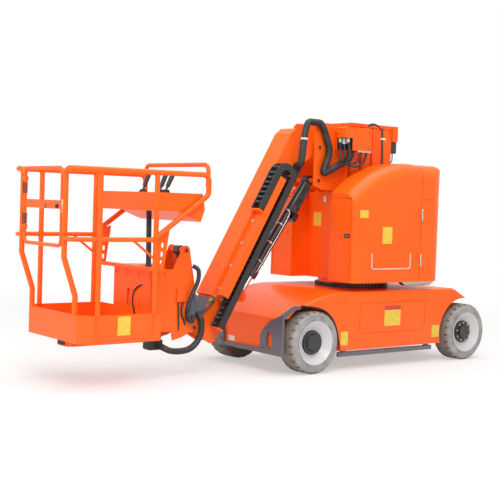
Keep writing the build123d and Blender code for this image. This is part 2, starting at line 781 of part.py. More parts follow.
# Drag chain: fixed to the tray at its upper run, to the fly at its lower one
chain_pitch = 45.0
chain_height = 55.0
chain_bend = 75.0
chain_bend_s = 412.0
chain_fixed_s = 764.0 - seat_gap
chain_moving_s = 1722.0
upper_t = tray_t + seat_gap + chain_height / 2
lower_t = upper_t - 2 * chain_bend
with BuildPart() as drag_chain:
    for band_y in (chain_low_y + chain_plate, chain_high_y):
        with BuildSketch(on_jib(band_y)):
            with BuildLine():
                half = chain_height / 2
                outer_top = Line((chain_fixed_s, upper_t + half), (chain_bend_s, upper_t + half))
                outer_turn = TangentArc(outer_top @ 1, (chain_bend_s, lower_t - half), tangent=(-1, 0))
                outer_low = Line(outer_turn @ 1, (chain_moving_s, lower_t - half))
                moving_end = Line(outer_low @ 1, (chain_moving_s, lower_t + half))
                inner_low = Line(moving_end @ 1, (chain_bend_s, lower_t + half))
                inner_turn = TangentArc(inner_low @ 1, (chain_bend_s, upper_t - half), tangent=(-1, 0))
                inner_top = Line(inner_turn @ 1, (chain_fixed_s, upper_t - half))
                Line(inner_top @ 1, outer_top @ 0)
            make_face()
        extrude(amount=chain_plate)
    upper_bars = int((chain_fixed_s - chain_bend_s) / chain_pitch)
    lower_bars = int((chain_moving_s - chain_bend_s) / chain_pitch)
    turn_bars = int(pi * chain_bend / chain_pitch)
    with BuildSketch(on_jib(chain_high_y - chain_plate)):
        for level, count in ((upper_t, upper_bars), (lower_t, lower_bars)):
            for bar in range(count):
                for face in (1, -1):
                    with Locations((chain_bend_s + (bar + 0.5) * chain_pitch, level + face * (chain_height / 2 - 5))):
                        Rectangle(18, 8)
        for bar in range(turn_bars):
            turn = pi / 2 + pi * (bar + 0.5) / turn_bars
            middle_t = (upper_t + lower_t) / 2
            for reach in (chain_bend + chain_height / 2 - 5, chain_bend - chain_height / 2 + 5):
                with Locations(
                    Location((chain_bend_s + reach * cos(turn), middle_t + reach * sin(turn)), degrees(turn))
                ):
                    Rectangle(8, 18)
    extrude(amount=chain_high_y - chain_low_y - 2 * chain_plate)
finish(drag_chain, "drag_chain")

# Fly: the inner tube of the jib, with the ears of the level head at its end
pivot_s, pivot_t = along_jib(*level_pivot)
fly_half_width = jib_half_width - jib_wall - fly_gap
fly_low_t = jib_low_t + jib_wall + fly_gap
fly_high_t = jib_high_t - jib_wall - fly_gap
fly_tail_s = fly_end_s - fly_length
level_lug_s = pivot_s - level_lug_radius
head_pin_radius = 20.0
level_eye_half = 44.0
level_lug_y = 50.0
level_eye_radius = 22.0
with BuildPart() as jib_fly:
    with BuildSketch(on_jib(fly_half_width)):
        with Locations(((fly_tail_s + fly_end_s) / 2, (fly_low_t + fly_high_t) / 2)):
            Rectangle(fly_length, fly_high_t - fly_low_t)
    extrude(amount=2 * fly_half_width)
    with BuildSketch(on_jib(fly_half_width - fly_wall)):
        with Locations(((fly_tail_s + fly_end_s) / 2, (fly_low_t + fly_high_t) / 2)):
            Rectangle(fly_length + 2, fly_high_t - fly_low_t - 2 * fly_wall)
    extrude(amount=2 * (fly_half_width - fly_wall), mode=Mode.SUBTRACT)
    with BuildSketch(on_jib(level_lug_y)):
        with Locations((fly_end_s - 105, fly_high_t)):
            Rectangle(260, 90)
    extrude(amount=2 * level_lug_y, mode=Mode.SUBTRACT)
    # The lower corner is cut off to clear the basket's bracket when the jib is up
    with BuildSketch(on_jib(fly_half_width + 1)):
        with BuildLine():
            Polyline(
                (fly_end_s - 32, fly_low_t - 1),
                (fly_end_s + 1, fly_low_t - 1),
                (fly_end_s + 1, fly_low_t + 32),
                close=True,
            )
        make_face()
    extrude(amount=2 * fly_half_width + 2, mode=Mode.SUBTRACT)
    for side in (1, -1):
        with BuildSketch(on_jib(max(side * (fly_half_width - 20), side * fly_half_width))):
            with Locations((pivot_s, pivot_t)):
                Circle(34)
            with BuildLine():
                Polyline(
                    (pivot_s - 90, fly_high_t - fly_wall),
                    (fly_end_s, fly_high_t - fly_wall),
                    (fly_end_s, pivot_t - 4),
                    (pivot_s - 26, pivot_t + 22),
                    close=True,
                )
            make_face()
            with Locations((pivot_s, pivot_t)):
                Circle(head_pin_radius + running_clearance, mode=Mode.SUBTRACT)
        extrude(amount=20)
        with BuildSketch(on_jib(max(side * level_lug_y, side * (level_lug_y + 12)))):
            with Locations((level_lug_s, pivot_t)):
                Circle(28)
            with BuildLine():
                Polyline(
                    (level_lug_s - 60, fly_high_t - fly_wall),
                    (level_lug_s + 40, fly_high_t - fly_wall),
                    (level_lug_s + 26, pivot_t),
                    (level_lug_s - 26, pivot_t),
                    close=True,
                )
            make_face()
        extrude(amount=12)
    # Wear pads around the tail
    for low_t, high_t in ((fly_low_t - pad, fly_low_t), (fly_high_t, fly_high_t + pad)):
        with BuildSketch(on_jib(60)):
            with Locations((fly_tail_s + 40, (low_t + high_t) / 2)):
                Rectangle(60, high_t - low_t)
        extrude(amount=120)
    for side in (1, -1):
        with BuildSketch(on_jib(side * fly_half_width)):
            with Locations((fly_tail_s + 40, (fly_low_t + fly_high_t) / 2)):
                Rectangle(60, 150)
        extrude(amount=-side * pad)
    # Bracket for the moving end of the drag chain
    with BuildSketch(on_jib(chain_high_y)):
        with Locations((chain_moving_s + seat_gap + 6, lower_t)):
            Rectangle(12, 44)
    extrude(amount=chain_high_y - fly_half_width)
finish(jib_fly, "jib_fly")

# Lift cylinder: barrel on the carriage, rod to the lug under the jib
lift_length = hypot(lug_pin[0] - lift_pin[0], lug_pin[1] - lift_pin[1])
lift_along = ((lug_pin[0] - lift_pin[0]) / lift_length, 0, (lug_pin[1] - lift_pin[1]) / lift_length)
lift_plane = Plane(origin=(lift_pin[0], 0, lift_pin[1]), x_dir=(0, 1, 0), z_dir=lift_along)
lift_barrel_radius = 38.0
lift_rod_radius = 22.0
lift_barrel_end = 960.0
lift_eye_half = 30.0
with BuildPart() as lift_barrel:
    with BuildSketch(lift_plane.offset(30)):
        Circle(lift_barrel_radius)
    extrude(amount=lift_barrel_end - 30)
    with BuildSketch(lift_plane.offset(lift_barrel_end - 60)):
        Circle(lift_barrel_radius + 5)
    extrude(amount=60)
    with BuildSketch(at_y(34)):
        with Locations(lift_pin):
            Circle(40)
    extrude(amount=68)
    with BuildSketch(lift_plane.offset(300)):
        with Locations((0, -lift_barrel_radius - 16)):
            Rectangle(84, 50)
    extrude(amount=70)
    with BuildSketch(lift_plane.offset(60)):
        Circle(lift_rod_radius + running_clearance)
    extrude(amount=lift_barrel_end, mode=Mode.SUBTRACT)
    with BuildSketch(at_y(40)):
        with Locations(lift_pin):
            Circle(lift_pin_radius + running_clearance)
    extrude(amount=80, mode=Mode.SUBTRACT)
finish(lift_barrel, "lift_barrel")
with BuildPart() as lift_rod:
    with BuildSketch(lift_plane.offset(90)):
        Circle(lift_rod_radius)
    extrude(amount=lift_length - 110)
    with BuildSketch(at_y(lift_eye_half)):
        with Locations(lug_pin):
            Circle(34)
    extrude(amount=2 * lift_eye_half)
finish(lift_rod, "lift_rod")

# Level cylinder: barrel on the head's top pin, rod to the lugs on the fly
lug_x, lug_z = jib_point(level_lug_s, pivot_t)
level_length = hypot(lug_x - level_top_pin[0], lug_z - level_top_pin[1])
level_along = ((lug_x - level_top_pin[0]) / level_length, 0, (lug_z - level_top_pin[1]) / level_length)
level_plane = Plane(origin=(level_top_pin[0], 0, level_top_pin[1]), x_dir=(0, 1, 0), z_dir=level_along)
level_barrel_radius = 30.0
level_rod_radius = 15.0
level_barrel_end = 372.0
top_pin_radius = 16.0
with BuildPart() as level_barrel:
    with BuildSketch(level_plane.offset(20)):
        Circle(level_barrel_radius)
    extrude(amount=level_barrel_end - 20)
    with BuildSketch(at_y(34)):
        with Locations(level_top_pin):
            Circle(34)
    extrude(amount=68)
    with BuildSketch(level_plane.offset(50)):
        Circle(level_rod_radius + running_clearance)
    extrude(amount=level_barrel_end, mode=Mode.SUBTRACT)
    with BuildSketch(at_y(40)):
        with Locations(level_top_pin):
            Circle(top_pin_radius + running_clearance)
    extrude(amount=80, mode=Mode.SUBTRACT)
finish(level_barrel, "level_barrel")
with BuildPart() as level_rod:
    with BuildSketch(level_plane.offset(62)):
        Circle(level_rod_radius)
    extrude(amount=level_length - 72)
    with BuildSketch(at_y(level_eye_half)):
        with Locations((lug_x, lug_z)):
            Circle(level_eye_radius)
    extrude(amount=2 * level_eye_half)
finish(level_rod, "level_rod")

# Level head: two leaf plates on the fly's ears, and the rotator housing they carry
housing_low_z = 330.0
housing_high_z = 790.0
housing_half_x = 57.0
arm_clearance = 98.0
shaft_radius = 30.0
with BuildPart() as level_head:
    for side in (1, -1):
        with BuildSketch(at_y(max(side * head_plate_y, side * (head_plate_y + head_plate)))):
            with BuildLine():
                rear = Line((level_pivot[0] - 38, level_pivot[1]), (level_pivot[0] - 22, level_pivot[1] + 200))
                up = Line(rear @ 1, (level_top_pin[0] - 34, level_top_pin[1] + 6))
                crown = ThreePointArc(
                    up @ 1, (level_top_pin[0], level_top_pin[1] + 36), (level_top_pin[0] + 34, level_top_pin[1] + 6)
                )
                Polyline(
                    crown @ 1,
                    (rotator_x - arm_clearance, housing_high_z),
                    (rotator_x + housing_half_x, housing_high_z),
                    (rotator_x + housing_half_x, housing_low_z),
                    (rotator_x - arm_clearance, housing_low_z),
                    (rotator_x - arm_clearance - 10, 262),
                    (level_pivot[0] + 110, 280),
                    (level_pivot[0] + 26, level_pivot[1] - 30),
                    (level_pivot[0] - 20, level_pivot[1] - 34),
                    (level_pivot[0] - 38, level_pivot[1]),
                )
            make_face()
        extrude(amount=head_plate)
        # Stub pins, one in each ear of the fly
        with BuildSketch(at_y(side * (fly_half_width - 20))):
            with Locations(level_pivot):
                Circle(head_pin_radius)
        extrude(amount=-side * (head_plate_y + head_plate + 6 - fly_half_width + 20))
        with BuildSketch(at_y(side * 34.5)):
            with Locations(level_top_pin):
                Circle(24)
        extrude(amount=-side * (head_plate_y - 34.5))
    with BuildSketch(at_y(head_plate_y + head_plate + 8)):
        with Locations(level_top_pin):
            Circle(top_pin_radius)
    extrude(amount=2 * (head_plate_y + head_plate + 8))
    with Locations((rotator_x, 0, (housing_low_z + housing_high_z) / 2)):
        Box(2 * housing_half_x, 2 * head_plate_y, housing_high_z - housing_low_z)
    with BuildSketch(Plane.XY.offset(housing_low_z - 30)):
        with Locations((rotator_x, 0)):
            Circle(shaft_radius)
    extrude(amount=housing_high_z - housing_low_z + 60)
finish(level_head, "level_head")

# Bracket of the basket: two arms on the rotator's shaft, a back plate and a channel under the floor
arm_radius = 60.0
arm_low_z = 262.0
arm_high_z = 826.0
channel_end_x = 1830.0
with BuildPart() as basket_bracket:
    for low_z, high_z, end_x in ((arm_low_z, floor_z, channel_end_x), (housing_high_z + 6, arm_high_z, floor_rear_x)):
        with BuildSketch(Plane.XY.offset(low_z)):
            with Locations((rotator_x, 0)):
                Circle(arm_radius)
            with BuildLine():
                Polyline(
                    (rotator_x, arm_radius),
                    (rotator_x + 100, arm_radius),
                    (rotator_x + 140, arm_radius + 30),
                    (end_x - 40, arm_radius + 30),
                    (end_x, arm_radius),
                    (end_x, -arm_radius),
                    (end_x - 40, -arm_radius - 30),
                    (rotator_x + 140, -arm_radius - 30),
                    (rotator_x + 100, -arm_radius),
                    (rotator_x, -arm_radius),
                    close=True,
                )
            make_face()
        extrude(amount=high_z - low_z)
    with BuildSketch(Plane.XY.offset(floor_z)):
        with Locations((rotator_x, 0)):
            Rectangle(2 * (floor_rear_x - rotator_x), 400)
        with Locations((floor_rear_x + 300, 0)):
            Rectangle(600, 400)
    with Locations((floor_rear_x - 12, 0, (floor_z + arm_high_z) / 2)):
        Box(24, 2 * (arm_radius + 30), arm_high_z - floor_z)
    with Locations((rotator_x, 0, (housing_low_z + housing_high_z) / 2)):
        Cylinder(shaft_radius + running_clearance, housing_high_z - housing_low_z + 60, mode=Mode.SUBTRACT)
finish(basket_bracket, "basket_bracket")

motor_half_width = 52.0
with BuildPart() as rotator_motor:
    with BuildSketch(Plane.XY.offset(arm_low_z - 72)):
        with Locations((rotator_x, 0)):
            RectangleRounded(118, 2 * motor_half_width, 14)
    extrude(amount=72)
    chamfer(rotator_motor.edges().group_by(Axis.Z)[0], 8)
finish(rotator_motor, "rotator_motor")

# Basket floor with its toe boards and the pressed ribs in them
toe_corner = 70.0
toe_half = basket_half_width - 12
rib_radius = 9.0


def toe_plan(inset):
    """The floor's outline, its front corners cut off, moved in by inset."""
    front = floor_front_x - inset
    rear = floor_rear_x + inset
    wide = toe_half - inset
    cut = toe_corner - inset / 2
    Polyline(
        (rear, -wide),
        (front - cut, -wide),
        (front, -wide + cut),
        (front, wide - cut),
        (front - cut, wide),
        (rear, wide),
        close=True,
    )


with BuildPart() as basket_floor:
    with BuildSketch(Plane.XY.offset(floor_z)):
        with BuildLine():
            toe_plan(0)
        make_face()
    extrude(amount=toe_top_z - floor_z)
    with BuildSketch(Plane.XY.offset(floor_z + floor_plate)):
        with BuildLine():
            toe_plan(toe_plate)
        make_face()
    extrude(amount=toe_top_z, mode=Mode.SUBTRACT)
    for side in (1, -1):
        with BuildLine() as rib_path:
            FilletPolyline(
                (post_front_x, side * toe_half, toe_top_z - 2),
                (post_front_x, side * toe_half, floor_z + 34),
                (post_rear_x, side * toe_half, floor_z + 34),
                (post_rear_x, side * toe_half, toe_top_z - 2),
                radius=48,
            )
        with BuildSketch(Plane.XY.offset(toe_top_z - 2)):
            with Locations((post_front_x, side * toe_half)):
                Circle(rib_radius)
        sweep(path=rib_path.wires()[0])
finish(basket_floor, "basket_floor")

# Guard rails: bent tubes, each given by its corners
tube_y = basket_half_width - 12
tube_front_x = basket_front_x - rail_radius
bend = 48.0


def tube(points, radius, bend_radius):
    """One bent tube with its centre line along the points."""
    with BuildPart() as bent:
        with BuildLine() as path:
            if len(points) > 2:
                FilletPolyline(*points, radius=bend_radius)
            else:
                Line(*points)
        line = path.wires()[0]
        with BuildSketch(Plane(origin=line @ 0, z_dir=line % 0)):
            Circle(radius)
        sweep(path=line)
    return bent.part


post_radius = 18.0
cross_radius = 16.0
rail_table = [
    # radius, corners of the centre line
    # the loop from the rear post over the top and down the front post
    (
        rail_radius,
        [
            (post_rear_x, tube_y, mid_rail_z + 14),
            (loop_rear_x, tube_y, 1345),
            (loop_rear_x, tube_y, top_rail_z),
            (tube_front_x, tube_y, top_rail_z),
            (tube_front_x, front_post_y, top_rail_z),
            (tube_front_x, front_post_y, 900),
            (floor_front_x - toe_plate / 2, front_post_y, 640),
            (floor_front_x - toe_plate / 2, front_post_y, toe_top_z),
        ],
    ),
    # the middle rail
    (
        cross_radius,
        [
            (post_rear_x, tube_y, mid_rail_z),
            (tube_front_x, tube_y, mid_rail_z),
            (tube_front_x, front_post_y, mid_rail_z),
        ],
    ),
    # the two side posts
    (post_radius, [(post_rear_x, tube_y, toe_top_z), (post_rear_x, tube_y, top_rail_z)]),
    (post_radius, [(post_front_x, tube_y, toe_top_z), (post_front_x, tube_y, top_rail_z)]),
]
guard_points = [
    (loop_rear_x + 2, tube_y - 8, 1400),
    (loop_rear_x + 2, tube_y - 8, 1562),
    (loop_rear_x + 2, -tube_y + 8, 1562),
    (loop_rear_x + 2, -tube_y + 8, 1400),
]
with BuildPart() as side_rails:
    for radius, points in rail_table:
        add(tube(points, radius, bend))
gate_hinge_y = -(front_post_y - rail_radius - 16)
gate_radius = 13.0
hinge_height = 34.0
with BuildPart() as basket_rails:
    add(side_rails.part)
    add(mirror(side_rails.part, about=Plane.XZ))
    add(tube(guard_points, cross_radius, bend))
    # The two hinge collars of the gate
    for hinge_z in (1064, 1400):
        with BuildSketch(Plane.XY.offset(hinge_z)):
            with Locations((tube_front_x, gate_hinge_y)):
                Circle(gate_radius + 7)
            with Locations((tube_front_x, (gate_hinge_y - front_post_y) / 2)):
                Rectangle(20, front_post_y + gate_hinge_y)
            with Locations((tube_front_x, gate_hinge_y)):
                Circle(gate_radius + running_clearance, mode=Mode.SUBTRACT)
        extrude(amount=hinge_height)
finish(basket_rails, "basket_rails")

# Back panel with its window, the cross plate over it and the slotted gussets
panel_x = floor_rear_x + toe_plate + seat_gap
panel_plate = 6.0
cross_z = 800.0
with BuildPart() as back_panel:
    with BuildSketch(Plane.YZ.offset(panel_x)):
        panel_low_z = floor_z + floor_plate + 4
        with Locations((45, (panel_low_z + cross_z) / 2)):
            Rectangle(500, cross_z - panel_low_z)
        with Locations((42, 588)):
            RectangleRounded(116, 126, 10, mode=Mode.SUBTRACT)
    extrude(amount=panel_plate)
    with Locations((panel_x + 24, 0, cross_z + 13)):
        Box(48, 2 * (tube_y - rail_radius - seat_gap), 26)
    for side in (1, -1):
        inner = tube_y - rail_radius - seat_gap - 8
        with BuildSketch(at_y(max(side * inner, side * (inner + 8)))):
            with BuildLine():
                Polyline(
                    (panel_x + 30, cross_z + 10),
                    (panel_x + 36, mid_rail_z + 40),
                    (panel_x - 70, mid_rail_z + 70),
                    (panel_x - 30, cross_z + 10),
                    close=True,
                )
            make_face()
            for rise in (60, 122, 184):
                with Locations((panel_x - 4 - rise * 0.06, cross_z + rise)):
                    SlotOverall(38, 22, rotation=90, mode=Mode.SUBTRACT)
        extrude(amount=8)
finish(back_panel, "back_panel")

# Control tray between the loops, and its three grips
tray_top_z = 1352.0
tray_under_z = 1222.0
with BuildPart() as control_tray:
    with BuildSketch(at_y(tube_y - rail_radius - seat_gap)):
        with BuildLine():
            Polyline(
                (post_rear_x, tray_top_z),
                (post_rear_x, tray_under_z),
                (1160, tray_under_z),
                (960, 1150),
                (926, 1240),
                (950, tray_top_z),
                close=True,
            )
        make_face()
    extrude(amount=2 * (tube_y - rail_radius - seat_gap))
finish(control_tray, "control_tray")

grip_table = [
    # x, y, lean back in degrees
    (1150, -78, 22),
    (1150, 150, 22),
    (1150, 226, 26),
]
with BuildPart() as joysticks:
    for x, y, lean in grip_table:
        with BuildSketch(Plane.XY.offset(tray_top_z)):
            with Locations((x, y)):
                Circle(26)
        extrude(amount=22, taper=32)
        stick = Plane(origin=(x, y, tray_top_z + 14), z_dir=(-sin(radians(lean)), 0, cos(radians(lean))))
        with BuildSketch(stick):
            Circle(8)
        extrude(amount=50)
        with BuildSketch(stick.offset(34)):
            Circle(15)
        extrude(amount=104, taper=-2)
finish(joysticks, "joysticks")

# Gate between the front posts, hung on the right one and swinging in
gate_latch_y = front_post_y - rail_radius - 12
gate_low_z = 972.0
with BuildPart() as gate:
    add(
        tube(
            [
                (tube_front_x, (gate_hinge_y + gate_latch_y) / 2, top_rail_z + 4),
                (tube_front_x, gate_latch_y - 14, top_rail_z + 4),
                (tube_front_x, gate_latch_y - 14, gate_low_z),
                (tube_front_x, gate_hinge_y, gate_low_z),
                (tube_front_x, gate_hinge_y, top_rail_z + 4),
                (tube_front_x, (gate_hinge_y + gate_latch_y) / 2 + 1, top_rail_z + 4),
            ],
            gate_radius,
            44,
        )
    )
    with Locations((tube_front_x, (gate_hinge_y + gate_latch_y - 14) / 2, 1246)):
        Box(8, gate_latch_y - 14 - gate_hinge_y, 58)
finish(gate, "gate")


# Hoses and cables, each whole along its route: corners and bend radii of the centre line
jib_hose_radius = 22.0
head_hose_radius = 26.0
head_hose_y = 134.0
conduit_radius = 19.0
hose_y = clevis_y + clevis_plate + 34
hose_table = [
    # name, radius, corners, bend radii
    (
        "jib_hose",
        jib_hose_radius,
        [
            (-165, jib_half_width + seat_gap, 1604),
            (-165, hose_y, 1604),
            (-210, hose_y, 1975),
            (-372, hose_y, 1975),
            (-470, hose_y, 1745),
            (-388, hose_y, 1530),
            (-640, 240, 1690),
            (-640, 240, box_low_z - seat_gap),
        ],
        [40, 66, 66, 120, 34, 40],
    ),
    (
        "head_hose",
        head_hose_radius,
        [
            (614, fly_half_width + seat_gap, 545),
            (614, head_hose_y, 545),
            (712, head_hose_y, 330),
            (800, head_hose_y, 182),
            (1010, head_hose_y, 182),
            (1060, head_hose_y, 225),
            (1060, motor_half_width + seat_gap, 225),
        ],
        [40, 90, 90, 60, 34],
    ),
    (
        "tray_conduit",
        conduit_radius,
        [(1214, 115, tray_under_z - 0.8), (1207, 115, 900), (1199, 115, 345)],
        [120],
    ),
]


def routed(points, radius, bends):
    """One hose with its centre line along the points."""
    with BuildPart() as hose:
        with BuildLine() as path:
            FilletPolyline(*points, radius=bends)
        line = path.wires()[0]
        with BuildSketch(Plane(origin=line @ 0, z_dir=line % 0)):
            Circle(radius)
        sweep(path=line)
    return hose.part


for name, radius, points, bends in hose_table:
    with BuildPart() as hose:
        add(routed(points, radius, bends))
    finish(hose, name)
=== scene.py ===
"""A vertical mast lift: wheeled chassis, slewing turret, telescoping mast, jib and work basket.

+X is forward towards the basket, +Y the machine's left, +Z up, in metres, and the floor is z = 0.
"""

from math import cos, radians, sin

import bpy
from mathutils import Matrix, Vector


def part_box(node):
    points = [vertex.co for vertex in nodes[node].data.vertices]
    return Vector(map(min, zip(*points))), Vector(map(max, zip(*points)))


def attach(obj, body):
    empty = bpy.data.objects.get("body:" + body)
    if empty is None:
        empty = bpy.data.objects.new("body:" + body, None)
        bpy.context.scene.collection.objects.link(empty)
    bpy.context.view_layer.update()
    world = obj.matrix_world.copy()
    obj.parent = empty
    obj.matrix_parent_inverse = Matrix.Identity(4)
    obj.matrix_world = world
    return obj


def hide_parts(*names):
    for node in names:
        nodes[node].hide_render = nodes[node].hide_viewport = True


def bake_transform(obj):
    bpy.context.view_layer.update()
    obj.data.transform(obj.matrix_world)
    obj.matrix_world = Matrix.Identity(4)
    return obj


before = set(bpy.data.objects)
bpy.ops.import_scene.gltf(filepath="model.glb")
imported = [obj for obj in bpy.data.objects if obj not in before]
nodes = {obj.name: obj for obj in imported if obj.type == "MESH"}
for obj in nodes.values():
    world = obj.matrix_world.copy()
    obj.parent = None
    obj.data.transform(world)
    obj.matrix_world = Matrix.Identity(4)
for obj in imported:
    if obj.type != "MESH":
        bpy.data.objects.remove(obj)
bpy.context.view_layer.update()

# Studio
# A pale floor that fades into a white backdrop and soft light from above, as in a catalogue
# picture. The camera stands at the machine's left front, at chest height.
scene = bpy.context.scene
scene.view_settings.view_transform = "Standard"

bpy.ops.object.select_all(action="DESELECT")
bpy.ops.mesh.primitive_plane_add(size=60, location=(0, 0, 0))
floor = bpy.context.object
floor.name = "studio_floor"
concrete = bpy.data.materials.new("pale_concrete")
concrete.use_nodes = True
tree = concrete.node_tree
shader = tree.nodes["Principled BSDF"]
shader.inputs["Base Color"].default_value = (0.80, 0.79, 0.78, 1)
shader.inputs["Roughness"].default_value = 0.75
glow = tree.nodes.new("ShaderNodeEmission")
glow.inputs["Color"].default_value = (1.0, 1.0, 1.0, 1)
seen = tree.nodes.new("ShaderNodeLightPath")
floor_place = tree.nodes.new("ShaderNodeTexCoord")
away = tree.nodes.new("ShaderNodeVectorMath")
away.operation = "LENGTH"
distance = tree.nodes.new("ShaderNodeMapRange")
distance.inputs["From Min"].default_value = 2.0
distance.inputs["From Max"].default_value = 7.0
distance.inputs["To Min"].default_value = 0.45
distance.inputs["To Max"].default_value = 1.0
share = tree.nodes.new("ShaderNodeMath")
share.operation = "MULTIPLY"
blend_shader = tree.nodes.new("ShaderNodeMixShader")
tree.links.new(floor_place.outputs["Object"], away.inputs[0])
tree.links.new(away.outputs["Value"], distance.inputs["Value"])
tree.links.new(seen.outputs["Is Camera Ray"], share.inputs[0])
tree.links.new(distance.outputs["Result"], share.inputs[1])
tree.links.new(share.outputs["Value"], blend_shader.inputs["Fac"])
tree.links.new(shader.outputs["BSDF"], blend_shader.inputs[1])
tree.links.new(glow.outputs["Emission"], blend_shader.inputs[2])
tree.links.new(blend_shader.outputs["Shader"], tree.nodes["Material Output"].inputs["Surface"])
floor.data.materials.append(concrete)

world = bpy.data.worlds.new("studio_world")
scene.world = world
world.use_nodes = True
sky = world.node_tree
backdrop = sky.nodes["Background"]
backdrop.inputs["Color"].default_value = (1.0, 1.0, 1.0, 1)
path = sky.nodes.new("ShaderNodeLightPath")
direct = sky.nodes.new("ShaderNodeMath")
direct.operation = "MAXIMUM"
level = sky.nodes.new("ShaderNodeMapRange")
level.inputs["To Min"].default_value = 0.62
level.inputs["To Max"].default_value = 1.0
sky.links.new(path.outputs["Is Camera Ray"], direct.inputs[0])
sky.links.new(path.outputs["Is Glossy Ray"], direct.inputs[1])
sky.links.new(direct.outputs["Value"], level.inputs["Value"])
sky.links.new(level.outputs["Result"], backdrop.inputs["Strength"])

for name, kind, place, aim, power, size in (
    ("key", "AREA", (3.5, 5.5, 6.5), (-0.4, 0, 0.8), 390, 4.5),
    ("top", "AREA", (-1.0, 0.5, 7.5), (-0.6, 0, 0), 300, 6.0),
    ("fill", "AREA", (7.5, -1.0, 3.0), (0, 0, 0.9), 150, 4.0),
):
    lamp = bpy.data.lights.new(name, kind)
    lamp.energy = power
    lamp.size = size
    holder = bpy.data.objects.new(name, lamp)
    holder.location = place
    holder.rotation_euler = (Vector(aim) - Vector(place)).to_track_quat("-Z", "Y").to_euler()
    scene.collection.objects.link(holder)

camera_yaw = radians(51.93)
camera_pitch = radians(2.654)
camera_roll = radians(1.939)
level_share = cos(camera_pitch)
ahead = Vector((-cos(camera_yaw) * level_share, -sin(camera_yaw) * level_share, -sin(camera_pitch)))
across = ahead.cross(Vector((0, 0, 1))).normalized()
upward = across.cross(ahead)
camera_x = across * cos(camera_roll) + upward * sin(camera_roll)
camera_y = -across * sin(camera_roll) + upward * cos(camera_roll)
lens = bpy.data.cameras.new("camera")
lens.sensor_width = 36.0
lens.lens = 75.6
camera = bpy.data.objects.new("camera", lens)
turn = Matrix((camera_x, camera_y, -ahead)).transposed().to_4x4()
camera.matrix_world = Matrix.Translation((5.30218, 6.52874, 1.31058)) @ turn
scene.collection.objects.link(camera)
scene.camera = camera

# Chassis
# The shell is welded sheet, sprayed in a bright orange enamel like nearly all of the machine.
# It has a little orange peel, cloudy gloss and a film of dust that thickens towards the ground.


def surface(name):
    """A new material, its node tree, its shader and the coordinates of the piece."""
    material = bpy.data.materials.new(name)
    material.use_nodes = True
    tree = material.node_tree
    return material, tree, tree.nodes["Principled BSDF"], tree.nodes.new("ShaderNodeTexCoord")


def noise(tree, place, scale, detail=2.0):
    """Cloudy noise on the coordinates of the piece."""
    cloud = tree.nodes.new("ShaderNodeTexNoise")
    cloud.inputs["Scale"].default_value = scale
    cloud.inputs["Detail"].default_value = detail
    tree.links.new(place.outputs["Object"], cloud.inputs["Vector"])
    return cloud.outputs["Fac"]


def two_tones(tree, pattern, dark_end, dark, pale_end, pale):
    """The pattern as a colour: dark up to dark_end, pale from pale_end on."""
    tone = tree.nodes.new("ShaderNodeValToRGB")
    tone.color_ramp.elements[0].position = dark_end
    tone.color_ramp.elements[0].color = (*dark, 1)
    tone.color_ramp.elements[1].position = pale_end
    tone.color_ramp.elements[1].color = (*pale, 1)
    tree.links.new(pattern, tone.inputs["Fac"])
    return tone.outputs["Color"]


def spread(tree, value, low, high, low_at=0.0, high_at=1.0):
    """The value mapped so that low_at gives low and high_at gives high."""
    scale = tree.nodes.new("ShaderNodeMapRange")
    scale.inputs["From Min"].default_value = low_at
    scale.inputs["From Max"].default_value = high_at
    scale.inputs["To Min"].default_value = low
    scale.inputs["To Max"].default_value = high
    tree.links.new(value, scale.inputs["Value"])
    return scale.outputs["Result"]


def figure(tree, operation, value, *numbers):
    """A value worked out from another one and from numbers."""
    sum_node = tree.nodes.new("ShaderNodeMath")
    sum_node.operation = operation
    tree.links.new(value, sum_node.inputs[0])
    for index, number in enumerate(numbers, start=1):
        sum_node.inputs[index].default_value = number
    return sum_node.outputs["Value"]


def overlay(tree, mask, under, colour):
    """Lays a colour over the finish below it where the mask says so."""
    coat = tree.nodes.new("ShaderNodeMix")
    coat.data_type = "RGBA"
    coat.inputs["B"].default_value = (*colour, 1)
    tree.links.new(mask, coat.inputs["Factor"])
    tree.links.new(under, coat.inputs["A"])
    tree.links.new(coat.outputs["Result"], tree.nodes["Principled BSDF"].inputs["Base Color"])
    return coat.outputs["Result"]


def emboss(tree, pattern, strength, distance):
    """Raises the surface by a fine pattern."""
    relief = tree.nodes.new("ShaderNodeBump")
    relief.inputs["Strength"].default_value = strength
    relief.inputs["Distance"].default_value = distance
    tree.links.new(pattern, relief.inputs["Height"])
    tree.links.new(relief.outputs["Normal"], tree.nodes["Principled BSDF"].inputs["Normal"])


def enamel(name, colour, rough=0.34, dust=0.5, coat=0.35, specular=0.5):
    """Sprayed enamel with uneven gloss, fine orange peel and dust low down."""
    paint, tree, shader, place = surface(name)
    shader.inputs["Coat Weight"].default_value = coat
    shader.inputs["Coat Roughness"].default_value = 0.16
    shader.inputs["Specular IOR Level"].default_value = specular
    cloud = noise(tree, place, 2.3, 5.0)
    deep = [c * 0.93 for c in colour]
    bright = [min(1.0, c * 1.04) for c in colour]
    shade = two_tones(tree, cloud, 0.32, deep, 0.70, bright)
    height = tree.nodes.new("ShaderNodeSeparateXYZ")
    tree.links.new(place.outputs["Object"], height.inputs["Vector"])
    fade = spread(tree, height.outputs["Z"], 0.42 * dust, 0.02 * dust, 0.10, 0.55)
    dust_film = figure(tree, "MULTIPLY", fade)
    tree.links.new(noise(tree, place, 26.0, 8.0), dust_film.node.inputs[1])
    overlay(tree, dust_film, shade, (0.42, 0.34, 0.27))
    gloss = spread(tree, cloud, rough - 0.06, rough + 0.10)
    tree.links.new(gloss, shader.inputs["Roughness"])
    emboss(tree, noise(tree, place, 420.0), 0.25, 0.00012)
    return paint


